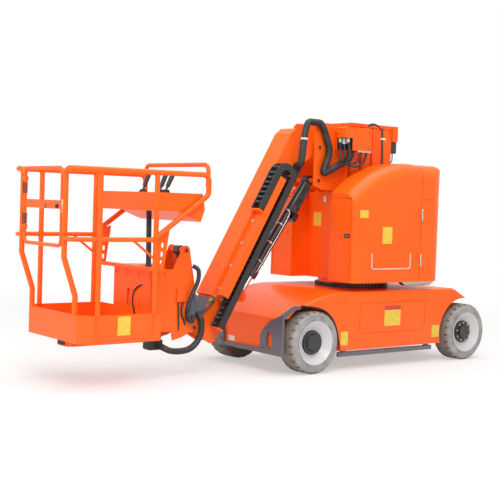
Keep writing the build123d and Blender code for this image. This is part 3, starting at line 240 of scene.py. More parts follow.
def finish_nodes(material, *names):
    """Gives the named pieces of the frame this finish."""
    for name in names:
        nodes[name].data.materials.clear()
        nodes[name].data.materials.append(material)


def settle(name, material, body, smooth=40):
    """Puts the active object's place into its mesh, paints it and ties it to its body, if any."""
    piece = bpy.context.object
    piece.name = name
    bpy.ops.object.transform_apply(location=True, rotation=True, scale=True)
    bpy.ops.object.shade_smooth_by_angle(angle=radians(smooth))
    piece.data.materials.clear()
    piece.data.materials.append(material)
    if body:
        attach(piece, body)
    return piece


def facing(normal):
    """The turn that points a piece's own Z along the normal."""
    return Vector(normal).to_track_quat("Z", "Y").to_matrix().to_4x4()


def bolt_master(radius, height):
    """A hexagon head with worn corners on its round washer, its foot at the origin."""
    bpy.ops.object.select_all(action="DESELECT")
    bpy.ops.mesh.primitive_cylinder_add(vertices=24, radius=radius * 1.5, depth=height * 0.3)
    washer = bpy.context.object
    washer.location.z = height * 0.15
    bpy.ops.object.select_all(action="DESELECT")
    bpy.ops.mesh.primitive_cylinder_add(vertices=6, radius=radius * 1.1, depth=height)
    head = bpy.context.object
    head.location.z = height * 0.5
    washer.select_set(True)
    bpy.ops.object.join()
    bpy.ops.object.transform_apply(location=True, rotation=True, scale=True)
    edge = head.modifiers.new("worn_edge", "BEVEL")
    edge.width = radius * 0.1
    edge.segments = 2
    bpy.ops.object.modifier_apply(modifier="worn_edge")
    return head


def copies(master, places, name, material, body):
    """One copy of the master at each place, turned to its normal, all joined as one piece."""
    made = []
    for place, normal in places:
        bpy.ops.object.select_all(action="DESELECT")
        master.select_set(True)
        bpy.context.view_layer.objects.active = master
        bpy.ops.object.duplicate(linked=False)
        copy = bpy.context.object
        copy.matrix_world = Matrix.Translation(place) @ facing(normal)
        made.append(copy)
    bpy.ops.object.select_all(action="DESELECT")
    for copy in made:
        copy.select_set(True)
    bpy.context.view_layer.objects.active = made[0]
    if len(made) > 1:
        bpy.ops.object.join()
    return settle(name, material, body)


def metal(name, colour, rough, scratch=60.0):
    """Bare or plated metal with fine scratches and cloudy tarnish."""
    material, tree, shader, place = surface(name)
    shader.inputs["Metallic"].default_value = 1.0
    cloud = noise(tree, place, scratch, 7.0)
    tone = two_tones(tree, cloud, 0.30, [c * 0.72 for c in colour], 0.66, colour)
    tree.links.new(tone, shader.inputs["Base Color"])
    gloss = spread(tree, cloud, max(0.05, rough - 0.1), rough + 0.14)
    tree.links.new(gloss, shader.inputs["Roughness"])
    return material


orange = enamel("orange_enamel", (0.98, 0.120, 0.004), dust=0.25, coat=0.10, specular=0.22)
finish_nodes(orange, "chassis_shell")
zinc = metal("plated_steel", (0.62, 0.62, 0.60), 0.32)
side_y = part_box("chassis_shell")[1][1]
small_bolt = bolt_master(0.0095, 0.007)
chassis_bolts = [(-0.394, 0.551), (-1.451, 0.560), (-0.644, 0.180), (-1.216, 0.172), (-1.474, 0.191)]
places = []
for side in (1, -1):
    for x, z in chassis_bolts:
        places.append(((x, side * side_y, z), (0, side, 0)))
copies(small_bolt, places, "chassis_bolts", orange, "chassis")

# Arch edging
# A black rubber profile is pressed over the edge of the skin above each steered wheel.
# It is one extruded strip that follows the arch from the bonnet down to the sill.


def hose(name, points, radius, material, body):
    """A round tube bent through the points."""
    line = bpy.data.curves.new(name, "CURVE")
    line.dimensions = "3D"
    line.bevel_depth = radius
    line.bevel_resolution = 3
    line.use_fill_caps = True
    line.resolution_u = 8
    spline = line.splines.new("NURBS")
    spline.points.add(len(points) - 1)
    for control, place in zip(spline.points, points):
        control.co = (*place, 1)
    spline.order_u = 3
    spline.use_endpoint_u = True
    bent = bpy.data.objects.new(name, line)
    scene.collection.objects.link(bent)
    bpy.ops.object.select_all(action="DESELECT")
    bent.select_set(True)
    bpy.context.view_layer.objects.active = bent
    bpy.ops.object.convert(target="MESH")
    return settle(name, material, body, smooth=60)


def black_rubber(name, colour, rough, ribs=0.0):
    """Black rubber or hose cover, dusty in patches, with moulded ribs across it if asked for."""
    material, tree, shader, place = surface(name)
    dust = noise(tree, place, 18.0, 6.0)
    tone = two_tones(tree, dust, 0.40, colour, 0.75, [c * 2.2 + 0.01 for c in colour])
    tree.links.new(tone, shader.inputs["Base Color"])
    tree.links.new(spread(tree, dust, rough - 0.08, rough + 0.10), shader.inputs["Roughness"])
    if ribs:
        grain = tree.nodes.new("ShaderNodeTexWave")
        grain.bands_direction = "Z"
        grain.inputs["Scale"].default_value = ribs
    else:
        grain = tree.nodes.new("ShaderNodeTexVoronoi")
        grain.inputs["Scale"].default_value = 340.0
    tree.links.new(place.outputs["Object"], grain.inputs["Vector"])
    emboss(tree, grain.outputs[0], 0.6, 0.003 if ribs else 0.0006)
    return material


rubber_black = black_rubber("black_rubber", (0.012, 0.012, 0.013), 0.62)
arch_line = [
    (0.070, 0.528), (-0.032, 0.518), (-0.172, 0.490),
    (-0.271, 0.408), (-0.320, 0.302), (-0.347, 0.162),
]
for name, side in (("left", 1), ("right", -1)):
    route = [(x, side * (side_y - 0.001), z) for x, z in arch_line]
    hose("arch_edging_" + name, route, 0.0065, rubber_black, "chassis")

# Labels
# Blank vinyl films with rounded corners lie on the paint. The machine's real ones are left
# empty here, and only their places and ground colours are kept.


def film(name, colour, band=None, band_z=0.0):
    """Vinyl with faint scuffs, and above band_z a band of a second colour."""
    material, tree, shader, place = surface(name)
    shader.inputs["Roughness"].default_value = 0.42
    scuff = noise(tree, place, 38.0, 9.0)
    tone = two_tones(tree, scuff, 0.36, [c * 0.86 for c in colour], 0.60, colour)
    tree.links.new(tone, shader.inputs["Base Color"])
    if band:
        height = tree.nodes.new("ShaderNodeSeparateXYZ")
        tree.links.new(place.outputs["Object"], height.inputs["Vector"])
        overlay(tree, figure(tree, "GREATER_THAN", height.outputs["Z"], band_z), tone, band)
    return material


def plate(name, centre, normal, width, height, material, body, thick=0.0009, corner=0.004):
    """A thin plate with rounded corners that stands upright on a wall and faces the normal."""
    bpy.ops.object.select_all(action="DESELECT")
    bpy.ops.mesh.primitive_plane_add(size=1)
    sheet = bpy.context.object
    sheet.scale = (width, height, 1)
    bpy.ops.object.transform_apply(location=False, rotation=False, scale=True)
    bpy.ops.object.mode_set(mode="EDIT")
    bpy.ops.mesh.select_all(action="SELECT")
    bpy.ops.mesh.bevel(offset=corner, segments=4, affect="VERTICES")
    bpy.ops.object.mode_set(mode="OBJECT")
    wall = sheet.modifiers.new("thickness", "SOLIDIFY")
    wall.thickness = thick
    wall.offset = 1.0
    bpy.ops.object.modifier_apply(modifier="thickness")
    out = Vector(normal).normalized()
    along = Vector((0, 0, 1)).cross(out)
    if along.length < 0.1:
        along = Vector((1, 0, 0))
    along.normalize()
    rise = out.cross(along)
    basis = Matrix((along, rise, out)).transposed().to_4x4()
    sheet.matrix_world = Matrix.Translation(centre) @ basis
    return settle(name, material, body)


yellow_film = film("yellow_film", (0.80, 0.55, 0.05))
white_film = film("white_film", (0.78, 0.78, 0.76))
red_band_z = 0.462
banded_film = film("yellow_film_red_band", (0.80, 0.55, 0.05), (0.62, 0.03, 0.02), red_band_z)
label_table = [
    # name, centre, normal, width, height, material, body
    ("label_sill_front", (-0.391, side_y, 0.254), (0, 1, 0), 0.075, 0.108, yellow_film, "chassis"),
    ("label_side", (-0.923, side_y, 0.415), (0, 1, 0), 0.184, 0.164, banded_film, "chassis"),
    ("label_sill_rear", (-1.448, side_y, 0.262), (0, 1, 0), 0.090, 0.100, yellow_film, "chassis"),
    ("label_nose", (0.226, -0.153, 0.212), (1, 0, 0), 0.082, 0.040, white_film, "chassis"),
    ("label_door_front", (-0.535, 0.530, 1.240), (0, 1, 0), 0.090, 0.062, yellow_film, "door_left"),
    ("label_door_middle", (-0.802, 0.530, 1.072), (0, 1, 0), 0.108, 0.135, yellow_film, "door_left"),
    ("label_cover", (-0.617, -0.118, 1.180), (1, 0, 0), 0.096, 0.116, yellow_film, "turret"),
    ("label_cover_small", (-0.617, -0.033, 1.351), (1, 0, 0), 0.030, 0.050, white_film, "turret"),
    ("label_toe_board", (1.584, 0.423, 0.436), (0, 1, 0), 0.100, 0.130, yellow_film, "platform"),
]
for name, centre, normal, width, height, material, body in label_table:
    plate(name, centre, normal, width, height, material, body)

# Nose plates and sill guards
# Flat steel plates with a slot bolt on to the nose, and a strip joins them along its foot.
# They and the guards under the sills are sprayed in a satin slate blue.
slate = enamel("slate_enamel", (0.060, 0.075, 0.105), rough=0.45, dust=0.8)
finish_nodes(slate, "front_frame", "pothole_guard_left", "pothole_guard_right")
nose_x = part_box("front_frame")[1][0]
guard_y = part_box("pothole_guard_left")[1][1]
nose_bolts = [(0.268, 0.200), (0.455, 0.400), (0.468, 0.200)]
sill_bolt_x = (-0.405, -1.360)
places = [((nose_x, side * y, z), (1, 0, 0)) for side in (1, -1) for y, z in nose_bolts]
places += [((x, side * (guard_y - 0.007), 0.150), (0, side, 0)) for side in (1, -1) for x in sill_bolt_x]
copies(small_bolt, places, "slate_bolts", slate, "chassis")

# Wheels
# Pressed steel rims are sprayed near-white. The steered wheels have a flat black hub cap, the
# driven ones a black planetary hub with a ring of brass-coloured nuts.
axle_z = 0.241
hub_radius = 0.0975
nut_circle = 0.076
nut_reach = 0.0095
nut_face_y = 0.5150


def rim_paint(name, axle_x, nut_ring):
    """Near-white enamel that turns black on the hub, with brass nuts where nut_ring is set."""
    paint = enamel(name, (0.60, 0.61, 0.63), rough=0.40, dust=0.7)
    tree = paint.node_tree
    white = tree.nodes["Principled BSDF"].inputs["Base Color"].links[0].from_socket
    place = tree.nodes.new("ShaderNodeTexCoord")
    centred = tree.nodes.new("ShaderNodeMapping")
    centred.inputs["Location"].default_value = (-axle_x, 0, -axle_z)
    flat = tree.nodes.new("ShaderNodeVectorMath")
    flat.operation = "MULTIPLY"
    flat.inputs[1].default_value = (1, 0, 1)
    reach = tree.nodes.new("ShaderNodeVectorMath")
    reach.operation = "LENGTH"
    tree.links.new(place.outputs["Object"], centred.inputs["Vector"])
    tree.links.new(centred.outputs["Vector"], flat.inputs[0])
    tree.links.new(flat.outputs["Vector"], reach.inputs[0])
    hub = figure(tree, "LESS_THAN", reach.outputs["Value"], hub_radius)
    coat = overlay(tree, hub, white, (0.014, 0.014, 0.015))
    if nut_ring:
        split = tree.nodes.new("ShaderNodeSeparateXYZ")
        tree.links.new(place.outputs["Object"], split.inputs["Vector"])
        depth = figure(tree, "ABSOLUTE", split.outputs["Y"])
        nut = figure(tree, "MULTIPLY", figure(tree, "GREATER_THAN", depth, nut_face_y))
        on_circle = figure(tree, "COMPARE", reach.outputs["Value"], nut_circle, nut_reach)
        tree.links.new(on_circle, nut.node.inputs[1])
        overlay(tree, nut, coat, (0.62, 0.42, 0.16))
    return paint


front_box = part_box("wheel_front_left")
rear_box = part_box("wheel_rear_left")
front_axle_x = (front_box[0][0] + front_box[1][0]) / 2
rear_axle_x = (rear_box[0][0] + rear_box[1][0]) / 2
finish_nodes(rim_paint("steered_rim", front_axle_x, False), "wheel_front_left", "wheel_front_right")
finish_nodes(rim_paint("driven_rim", rear_axle_x, True), "wheel_rear_left", "wheel_rear_right")

# Tyres
# Solid non-marking tyres of pale grey rubber, moulded and pressed on to the rims. The tread is
# warmer and dirtier than the side, which has a moulded ring.
side_face_y = 0.5495
tread_edge_y = 0.535
rubber, tree, shader, place = surface("pale_tyre_rubber")
shader.inputs["Roughness"].default_value = 0.86
scuff = noise(tree, place, 14.0, 9.0)
tone = two_tones(tree, scuff, 0.30, (0.235, 0.225, 0.215), 0.72, (0.40, 0.39, 0.38))
split = tree.nodes.new("ShaderNodeSeparateXYZ")
tree.links.new(place.outputs["Object"], split.inputs["Vector"])
depth = figure(tree, "ABSOLUTE", split.outputs["Y"])
tread = spread(tree, depth, 0.0, 0.75, side_face_y, tread_edge_y)
overlay(tree, tread, tone, (0.205, 0.180, 0.150))
emboss(tree, noise(tree, place, 260.0), 0.35, 0.0006)
wheel_table = [
    # name, axle x, side of the machine
    ("front_left", front_axle_x, 1),
    ("front_right", front_axle_x, -1),
    ("rear_left", rear_axle_x, 1),
    ("rear_right", rear_axle_x, -1),
]
tyre_side_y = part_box("tyre_front_left")[1][1]
for name, axle_x, side in wheel_table:
    finish_nodes(rubber, "tyre_" + name)
    bpy.ops.object.select_all(action="DESELECT")
    bpy.ops.mesh.primitive_torus_add(
        major_radius=0.206, minor_radius=0.0022, major_segments=72, minor_segments=8
    )
    bead = bpy.context.object
    bead.scale.z = 0.7
    bead.location = (axle_x, side * tyre_side_y, axle_z)
    bead.rotation_euler = (radians(90), 0, 0)
    settle("tyre_ring_" + name, rubber, "wheel_" + name, smooth=60)

# Axles and drives
# Forged stub axles, steering knuckles and drive units are painted black and greasy.
black_paint = enamel("black_enamel", (0.016, 0.017, 0.019), rough=0.42, dust=0.5)
finish_nodes(black_paint, "front_axle", "knuckle_left", "knuckle_right", "rear_drives", "slew_ring")

# Turret
# Two hollow moulded doors and a cast counterweight close the pods on both sides of the mast.
# Each door has a groove with a pale pinkish strip laid in it, which is a painted highlight on the
# groove's lip, and each door turns on two plated hinges.
finish_nodes(orange, "turret_base", "pod_door_left", "pod_door_right", "counterweight", "mast_cover")
finish_nodes(black_paint, "battery_pack", "power_unit")
# The pale pinkish strip in each door's groove is a painted highlight, where the groove's lip catches the
# light.
highlight_paint = film("painted_groove_highlight", (0.80, 0.50, 0.38))
door_y = 0.530
highlight_line = [
    (-0.640, 0.930), (-0.640, 0.860), (-0.640, 0.800), (-0.700, 0.800),
    (-1.020, 0.800), (-1.080, 0.800), (-1.080, 0.860), (-1.080, 0.930),
]
for name, side in (("left", 1), ("right", -1)):
    route = [(x, side * (door_y - 0.0035), z) for x, z in highlight_line]
    hose("door_highlight_" + name, route, 0.0072, highlight_paint, "door_" + name)


def ring_sleeve(name, low, high, centre, radius, material, body):
    """An upright sleeve with rounded ends between two heights."""
    bpy.ops.object.select_all(action="DESELECT")
    bpy.ops.mesh.primitive_cylinder_add(
        vertices=28, radius=radius, depth=high - low, location=(*centre, (low + high) / 2)
    )
    sleeve = bpy.context.object
    edge = sleeve.modifiers.new("rounded", "BEVEL")
    edge.width = 0.0014
    edge.segments = 2
    edge.limit_method = "ANGLE"
    bpy.ops.object.modifier_apply(modifier="rounded")
    return settle(name, material, body)


hinge_half = 0.04975
for name, side in (("left", 1), ("right", -1)):
    for level, low_z in (("low", 0.820), ("high", 1.195)):
        place = (-1.1935, side * 0.538)
        ring_sleeve(
            "hinge_fixed_" + level + "_" + name, low_z, low_z + hinge_half, place,
            0.0078, zinc, "turret",
        )
        ring_sleeve(
            "hinge_door_" + level + "_" + name, low_z + hinge_half + 0.0005, low_z + 0.100, place,
            0.0078, zinc, "door_" + name,
        )

# Pod fronts
# A flush pull latch and a few small bolts sit on the fixed front of each pod. The latch is a
# black plate with a plated lever let into it.
front_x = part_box("mast_cover")[1][0]
for name, side in (("left", 1), ("right", -1)):
    plate(
        "latch_plate_" + name, (front_x, side * 0.444, 1.063), (1, 0, 0), 0.062, 0.030,
        black_paint, "turret", thick=0.004, corner=0.006,
    )
    plate(
        "latch_lever_" + name, (front_x + 0.004, side * 0.450, 1.063), (1, 0, 0), 0.040, 0.014,
        zinc, "turret", thick=0.005, corner=0.005,
    )
pod_front_bolts = [(0.290, 1.063), (0.373, 1.062), (0.290, 0.740), (0.450, 0.740)]
places = [((front_x, side * y, z), (1, 0, 0)) for side in (1, -1) for y, z in pod_front_bolts]
copies(small_bolt, places, "pod_front_bolts", orange, "turret")

# Turret skirt
# A bare pressed bar closes the gap between the deck and the counterweight on each side. It
# is narrower at its foot, and its edges are rounded by the fold.
for name, side in (("left", 1), ("right", -1)):
    bpy.ops.object.select_all(action="DESELECT")
    bpy.ops.mesh.primitive_cube_add(size=1, location=(-1.300, side * 0.395, 0.668))
    bar = bpy.context.object
    bar.scale = (0.430, 0.050, 0.040)
    bpy.ops.object.transform_apply(location=False, rotation=False, scale=True)
    for vertex in bar.data.vertices:
        if vertex.co.z < 0:
            vertex.co.x *= 0.72
    edge = bar.modifiers.new("folded_edge", "BEVEL")
    edge.width = 0.004
    edge.segments = 3
    bpy.ops.object.modifier_apply(modifier="folded_edge")
    settle("turret_skirt_" + name, zinc, "turret")

# Mast
# Four welded box sections slide on one another, each closed by a bolted cap. A limit switch
# hangs under the hood at the back.
finish_nodes(orange, "mast_section_1", "mast_section_2", "mast_section_3", "mast_section_4")
cap_bolt = bolt_master(0.008, 0.006)
first_section_x = -1.152
section_pitch = 0.123
half_section = 0.0475
cap_bolt_y = (-0.165, -0.055, 0.055, 0.165)
for index, body in ((1, "turret"), (2, "mast_2"), (3, "mast_3"), (4, "mast_4")):
    cap_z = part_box("mast_section_" + str(index))[1][2]
    middle_x = first_section_x + (index - 1) * section_pitch + half_section
    places = [((middle_x + dx, y, cap_z), (0, 0, 1)) for dx in (-0.034, 0.034) for y in cap_bolt_y]
    copies(cap_bolt, places, "mast_cap_bolts_" + str(index), zinc, body)


def eased_block(size, centre, ease, segments=3):
    """A block of this size with its edges eased."""
    bpy.ops.object.select_all(action="DESELECT")
    bpy.ops.mesh.primitive_cube_add(size=1, location=centre)
    block = bpy.context.object
    block.scale = size
    bpy.ops.object.transform_apply(location=False, rotation=False, scale=True)
    bpy.ops.object.mode_set(mode="EDIT")
    bpy.ops.mesh.select_all(action="SELECT")
    bpy.ops.mesh.bevel(offset=ease, segments=segments)
    bpy.ops.object.mode_set(mode="OBJECT")
    return block


eased_block((0.060, 0.040, 0.096), (-1.186, 0.168, 1.806), 0.004)
settle("mast_switch", black_paint, "turret")
route = [
    (-1.186, 0.168, 1.760), (-1.188, 0.170, 1.720), (-1.176, 0.178, 1.690), (-1.148, 0.186, 1.672),
]
hose("mast_switch_lead", route, 0.005, rubber_black, "turret")

# Carriage
# The plate that rides up the mast carries the jib's pivot and the pin of the lift cylinder.
# Both pins are held by a black keeper bolt in the end. Five hoses run down the plate's face
# under two clamps.
finish_nodes(orange, "carriage", "junction_box")
pin_bolt = bolt_master(0.010, 0.008)
jib_pivot = (-0.382, 1.765)
lift_pin = (-0.382, 1.498)
places = [((x, side * 0.144, z), (0, side, 0)) for side in (1, -1) for x, z in (jib_pivot, lift_pin)]
copies(pin_bolt, places, "carriage_pin_bolts", black_paint, "carriage")
clevis_bolt_z = (1.900, 1.760, 1.620, 1.500)
places = [((-0.560, side * 0.136, z), (0, side, 0)) for side in (1, -1) for z in clevis_bolt_z]
copies(small_bolt, places, "carriage_bolts", orange, "carriage")
braid = black_rubber("braided_hose", (0.016, 0.016, 0.018), 0.55)
for index, y in enumerate((-0.090, -0.050, -0.012, 0.030, 0.070)):
    route = [
        (-0.648, y, 1.792), (-0.626, y, 1.786), (-0.622, y + 0.010, 1.720), (-0.626, y - 0.012, 1.600),
        (-0.628, y + 0.004, 1.474), (-0.648, y + 0.004, 1.462),
    ]
    hose("plate_hose_" + str(index), route, 0.0085, braid, "carriage")
for index, z in enumerate((1.740, 1.540)):
    plate(
        "hose_clamp_" + str(index), (-0.617, -0.010, z), (1, 0, 0), 0.215, 0.026,
        zinc, "carriage", thick=0.003, corner=0.005,
    )

# Junction box
# A folded box beside the mast, open at its lower front corner, where white plugs hang. Black
# sheets inside the opening are painted shade. A creased sleeve covers the thick hose, with a turn
# of white tape on it. Thin hoses fan out from it, and two cables run round the back of the box.
tape_centre = (-0.190, 0.170, 1.822)
tape_reach = 0.030
taped = black_rubber("taped_hose", (0.013, 0.013, 0.014), 0.55)
tree = taped.node_tree
cover = tree.nodes["Principled BSDF"].inputs["Base Color"].links[0].from_socket
place = tree.nodes.new("ShaderNodeTexCoord")
apart = tree.nodes.new("ShaderNodeVectorMath")
apart.operation = "DISTANCE"
apart.inputs[1].default_value = tape_centre
tree.links.new(place.outputs["Object"], apart.inputs[0])
close_by = figure(tree, "LESS_THAN", apart.outputs["Value"], tape_reach)
overlay(tree, close_by, cover, (0.72, 0.72, 0.70))
finish_nodes(taped, "jib_hose")
sleeve_route = [
    (-0.165, 0.102, 1.606), (-0.165, 0.168, 1.606), (-0.172, 0.172, 1.680), (-0.202, 0.172, 1.962),
    (-0.292, 0.172, 1.962), (-0.372, 0.172, 1.962), (-0.425, 0.172, 1.850), (-0.470, 0.172, 1.745),
    (-0.430, 0.172, 1.640), (-0.392, 0.172, 1.545), (-0.470, 0.186, 1.590), (-0.560, 0.212, 1.640),
    (-0.640, 0.240, 1.690), (-0.640, 0.240, 1.752),
]
sleeve = hose("jib_hose_sleeve", sleeve_route, 0.0280, taped, None)
crumple = bpy.data.textures.new("crumple", "CLOUDS")
crumple.noise_scale = 0.035
creases = sleeve.modifiers.new("creases", "DISPLACE")
creases.texture = crumple
creases.strength = 0.007
creases.mid_level = 0.55
bpy.ops.object.modifier_apply(modifier="creases")
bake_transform(sleeve)
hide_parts("jib_hose")
# The three black sheets inside the box's opening are painted shade: dark plates where the inside of the box
# is only in shadow.
shade_sheet_table = [
    # name, centre, normal, width, height
    ("box_shade_sheet_back", (-0.5965, 0.254, 1.8005), (1, 0, 0), 0.088, 0.094),
    ("box_shade_sheet_side", (-0.5520, 0.2085, 1.8005), (0, 1, 0), 0.086, 0.094),
    ("box_shade_sheet_roof", (-0.5520, 0.254, 1.8494), (0, 0, -1), 0.086, 0.088),
]
for name, centre, normal, width, height in shade_sheet_table:
    plate(name, centre, normal, width, height, rubber_black, "carriage", corner=0.002)
plug_white = film("plug_plastic", (0.72, 0.72, 0.70))
plug_table = [(-0.528, 0.225, 0.036), (-0.546, 0.250, 0.048), (-0.566, 0.278, 0.034), (-0.582, 0.236, 0.044)]
box_roof_z = 1.8484
for index, (x, y, drop) in enumerate(plug_table):
    eased_block((0.021, 0.017, drop), (x, y, box_roof_z - drop / 2), 0.002, segments=2)
    settle("box_plug_" + str(index), plug_white, "carriage")
fan_table = [
    # from beside the thick hose up into a plug, or to the frame under the box
    ((-0.508, 0.212, 1.612), (-0.516, 0.238, 1.660), (-0.532, 0.232, 1.740), (-0.528, 0.225, 1.816)),
    ((-0.530, 0.214, 1.626), (-0.540, 0.262, 1.672), (-0.552, 0.262, 1.740), (-0.546, 0.250, 1.804)),
    ((-0.556, 0.222, 1.642), (-0.572, 0.292, 1.682), (-0.578, 0.292, 1.750), (-0.566, 0.278, 1.818)),
    ((-0.580, 0.236, 1.652), (-0.620, 0.272, 1.640), (-0.690, 0.284, 1.664), (-0.712, 0.280, 1.752)),
    ((-0.566, 0.230, 1.644), (-0.640, 0.286, 1.610), (-0.750, 0.284, 1.650), (-0.782, 0.276, 1.752)),
]
for index, route in enumerate(fan_table):
    hose("fan_hose_" + str(index), route, 0.0088, braid, "carriage")
hose(
    "box_cable_front",
    [
        (-0.770, 0.290, 1.958), (-0.784, 0.300, 1.978), (-0.850, 0.306, 1.978), (-0.915, 0.306, 1.940),
        (-0.928, 0.302, 1.863), (-0.938, 0.302, 1.740), (-0.940, 0.302, 1.624),
    ],
    0.0062, braid, "carriage",
)
hose(
    "box_cable_rear",
    [
        (-0.800, 0.270, 1.958), (-0.816, 0.282, 1.976), (-0.880, 0.290, 1.974), (-0.942, 0.290, 1.930),
        (-0.948, 0.286, 1.850), (-0.956, 0.286, 1.740), (-0.958, 0.286, 1.624),
    ],
    0.0062, braid, "carriage",
)
plate(
    "box_cable_clamp", (-0.938, 0.2985, 1.863), (0, 1, 0), 0.050, 0.016,
    plug_white, "carriage", thick=0.011, corner=0.003,
)
plate(
    "box_strip", (-0.729, 0.300, 1.746), (0, 1, 0), 0.150, 0.014,
    zinc, "carriage", thick=0.003, corner=0.002,
)
screws = [(-0.545, 1.910), (-0.780, 1.910), (-0.780, 1.780), (-0.640, 1.910)]
places = [((x, 0.300, z), (0, 1, 0)) for x, z in screws]
copies(small_bolt, places, "box_screws", orange, "carriage")

# Jib
# A tube of folded plate with a second one sliding inside. Its wear pads are held by bolts, and
# a steel tray beside it carries the black drag chain, whose lower run follows the fly. Three
# hoses lie along its side.
jib_angle = radians(-60)


def jib_place(s, t, y):
    """The point s down the jib and t across it, at y."""
    x = jib_pivot[0] + s * cos(jib_angle) - t * sin(jib_angle)
    z = jib_pivot[1] + s * sin(jib_angle) + t * cos(jib_angle)
    return (x, y, z)


finish_nodes(orange, "jib_base", "chain_tray", "jib_fly")
plastic, tree, shader, place = surface("chain_plastic")
mould = noise(tree, place, 120.0)
tone = two_tones(tree, mould, 0.0, (0.010, 0.010, 0.011), 1.0, (0.030, 0.030, 0.032))
tree.links.new(tone, shader.inputs["Base Color"])
tree.links.new(spread(tree, mould, 0.36, 0.58), shader.inputs["Roughness"])
finish_nodes(plastic, "joysticks", "rotator_motor")
links = bpy.data.objects.new("drag_chain_links", nodes["drag_chain"].data.copy())
scene.collection.objects.link(links)
bpy.ops.object.select_all(action="DESELECT")
links.select_set(True)
bpy.context.view_layer.objects.active = links
bpy.ops.object.mode_set(mode="EDIT")
bpy.ops.mesh.select_all(action="SELECT")
bpy.ops.mesh.remove_doubles(threshold=0.00001)
bpy.ops.object.mode_set(mode="OBJECT")
settle("drag_chain_links", plastic, None, smooth=35)
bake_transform(links)
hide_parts("drag_chain")
pad_bolts = [(s, t) for s in (1.462, 1.502) for t in (0.085, 0.175, 0.245)]
places = [(jib_place(s, t, side * 0.100), (0, side, 0)) for side in (1, -1) for s, t in pad_bolts]
copies(small_bolt, places, "jib_pad_bolts", zinc, "jib")
tray_up = Vector(jib_place(0, 1, 0)) - Vector(jib_place(0, 0, 0))
places = [(jib_place(s, 0.262, 0.122), tray_up) for s in (0.850, 1.050, 1.250, 1.450)]
copies(small_bolt, places, "tray_bolts", zinc, "jib")
for index in range(3):
    low = 0.018 * index
    route = [
        jib_place(0.150, 0.060 + low, 0.094), jib_place(0.180, 0.058 + low, 0.1085),
        jib_place(0.300, 0.056 + low, 0.1092), jib_place(0.620, 0.052 + low, 0.1092),
        jib_place(0.780, 0.050 + low * 0.8, 0.1088), jib_place(0.830, 0.046 + low * 0.6, 0.092),
    ]
    hose("jib_side_hose_" + str(index), route, 0.0082, braid, "jib")

# Cylinders
# Barrels are honed tube, painted black, with a steel pipe clipped to the side of the lift
# cylinder. Its hoses come out of a block at its foot. The rods are ground and hard chromed,
# with a faint film of oil.
finish_nodes(black_paint, "lift_barrel", "level_barrel")
chrome = metal("chromed_rod", (0.72, 0.73, 0.75), 0.15, 14.0)
finish_nodes(chrome, "lift_rod", "level_rod")
lift_foot = Vector((lift_pin[0], 0, lift_pin[1]))
lift_eye = Vector((0.288, 0, 0.560))
lift_way = (lift_eye - lift_foot).normalized()
lift_out = Vector((0, 1, 0))


def beside_lift(along, out, up):
    """A point along the lift cylinder, out to its left and up from its middle line."""
    rise = lift_out.cross(lift_way)
    return lift_foot + lift_way * along + lift_out * out + rise * up


pipe_line = [
    (0.330, 0.030, -0.050), (0.330, 0.052, -0.030), (0.380, 0.052, -0.006),
    (0.860, 0.052, -0.006), (0.905, 0.052, -0.006), (0.925, 0.036, -0.004),
]
route = [tuple(beside_lift(*spot)) for spot in pipe_line]
hose("lift_pipe", route, 0.0058, zinc, "lift_barrel")
clip_width = Matrix.Diagonal((1, 1, 2.2, 1))
for index, along in enumerate((0.460, 0.640, 0.820)):
    bpy.ops.object.select_all(action="DESELECT")
    bpy.ops.mesh.primitive_torus_add(
        major_radius=0.0395, minor_radius=0.0030, major_segments=40, minor_segments=8
    )
    clip = bpy.context.object
    clip.matrix_world = Matrix.Translation(beside_lift(along, 0, 0)) @ facing(lift_way) @ clip_width
    settle("lift_clip_" + str(index), zinc, "lift_barrel")
block = eased_block((0.060, 0.046, 0.064), (0, 0, 0), 0.005)
block.matrix_world = Matrix.Translation(beside_lift(0.300, 0.058, 0.000)) @ facing(lift_way)
settle("lift_block", black_paint, "lift_barrel")
for index, (out, up) in enumerate(((0.046, -0.018), (0.060, -0.004), (0.070, 0.012), (0.052, 0.022))):
    route = [tuple(beside_lift(a, o, u)) for a, o, u in (
        (0.290, out, up), (0.230, out + 0.004, up + 0.006), (0.150, out - 0.004, up * 0.5 + 0.016),
        (0.080, out, up * 0.7 + 0.004), (0.020, 0.048, up * 0.5), (-0.004, 0.034, 0.0),
    )]
    hose("lift_hose_" + str(index), route, 0.0078, braid, "lift_barrel")

# Level head
# Two leaf plates carry the rotator and turn on the fly's ears, so that the basket stays level.
# A valve block is bolted to the near plate, and a perforated guard stands on the fly. A thick
# hose runs from the fly to the motor, and a second one loops up the plate.
finish_nodes(orange, "level_head", "basket_bracket")
head_y = 0.098
eased_block((0.100, 0.012, 0.096), (0.896, head_y + 0.006, 0.594), 0.004)
settle("valve_cover", orange, "head")
leaf_bolts = [(1.040, 0.760), (1.105, 0.760), (1.040, 0.360), (1.105, 0.360)]
places = [((x, head_y + 0.012, z), (0, 1, 0)) for x in (0.858, 0.934) for z in (0.558, 0.630)]
places += [((x, side * head_y, z), (0, side, 0)) for side in (1, -1) for x, z in leaf_bolts]
copies(small_bolt, places, "head_bolts", orange, "head")
places = [((0.868, side * 0.106, 0.930), (0, side, 0)) for side in (1, -1)]
places += [((0.778, side * 0.104, 0.350), (0, side, 0)) for side in (1, -1)]
copies(pin_bolt, places, "head_pin_bolts", black_paint, "head")
route = [
    (0.924, 0.104, 0.548), (0.929, 0.106, 0.500), (0.922, 0.106, 0.420), (0.918, 0.106, 0.350),
    (0.916, 0.092, 0.325),
]
hose("valve_hose_a", route, 0.0055, braid, "head")
route = [
    (0.886, 0.104, 0.548), (0.902, 0.106, 0.505), (0.898, 0.106, 0.450), (0.874, 0.106, 0.410),
    (0.864, 0.105, 0.385), (0.860, 0.092, 0.370),
]
hose("valve_hose_b", route, 0.0065, braid, "head")
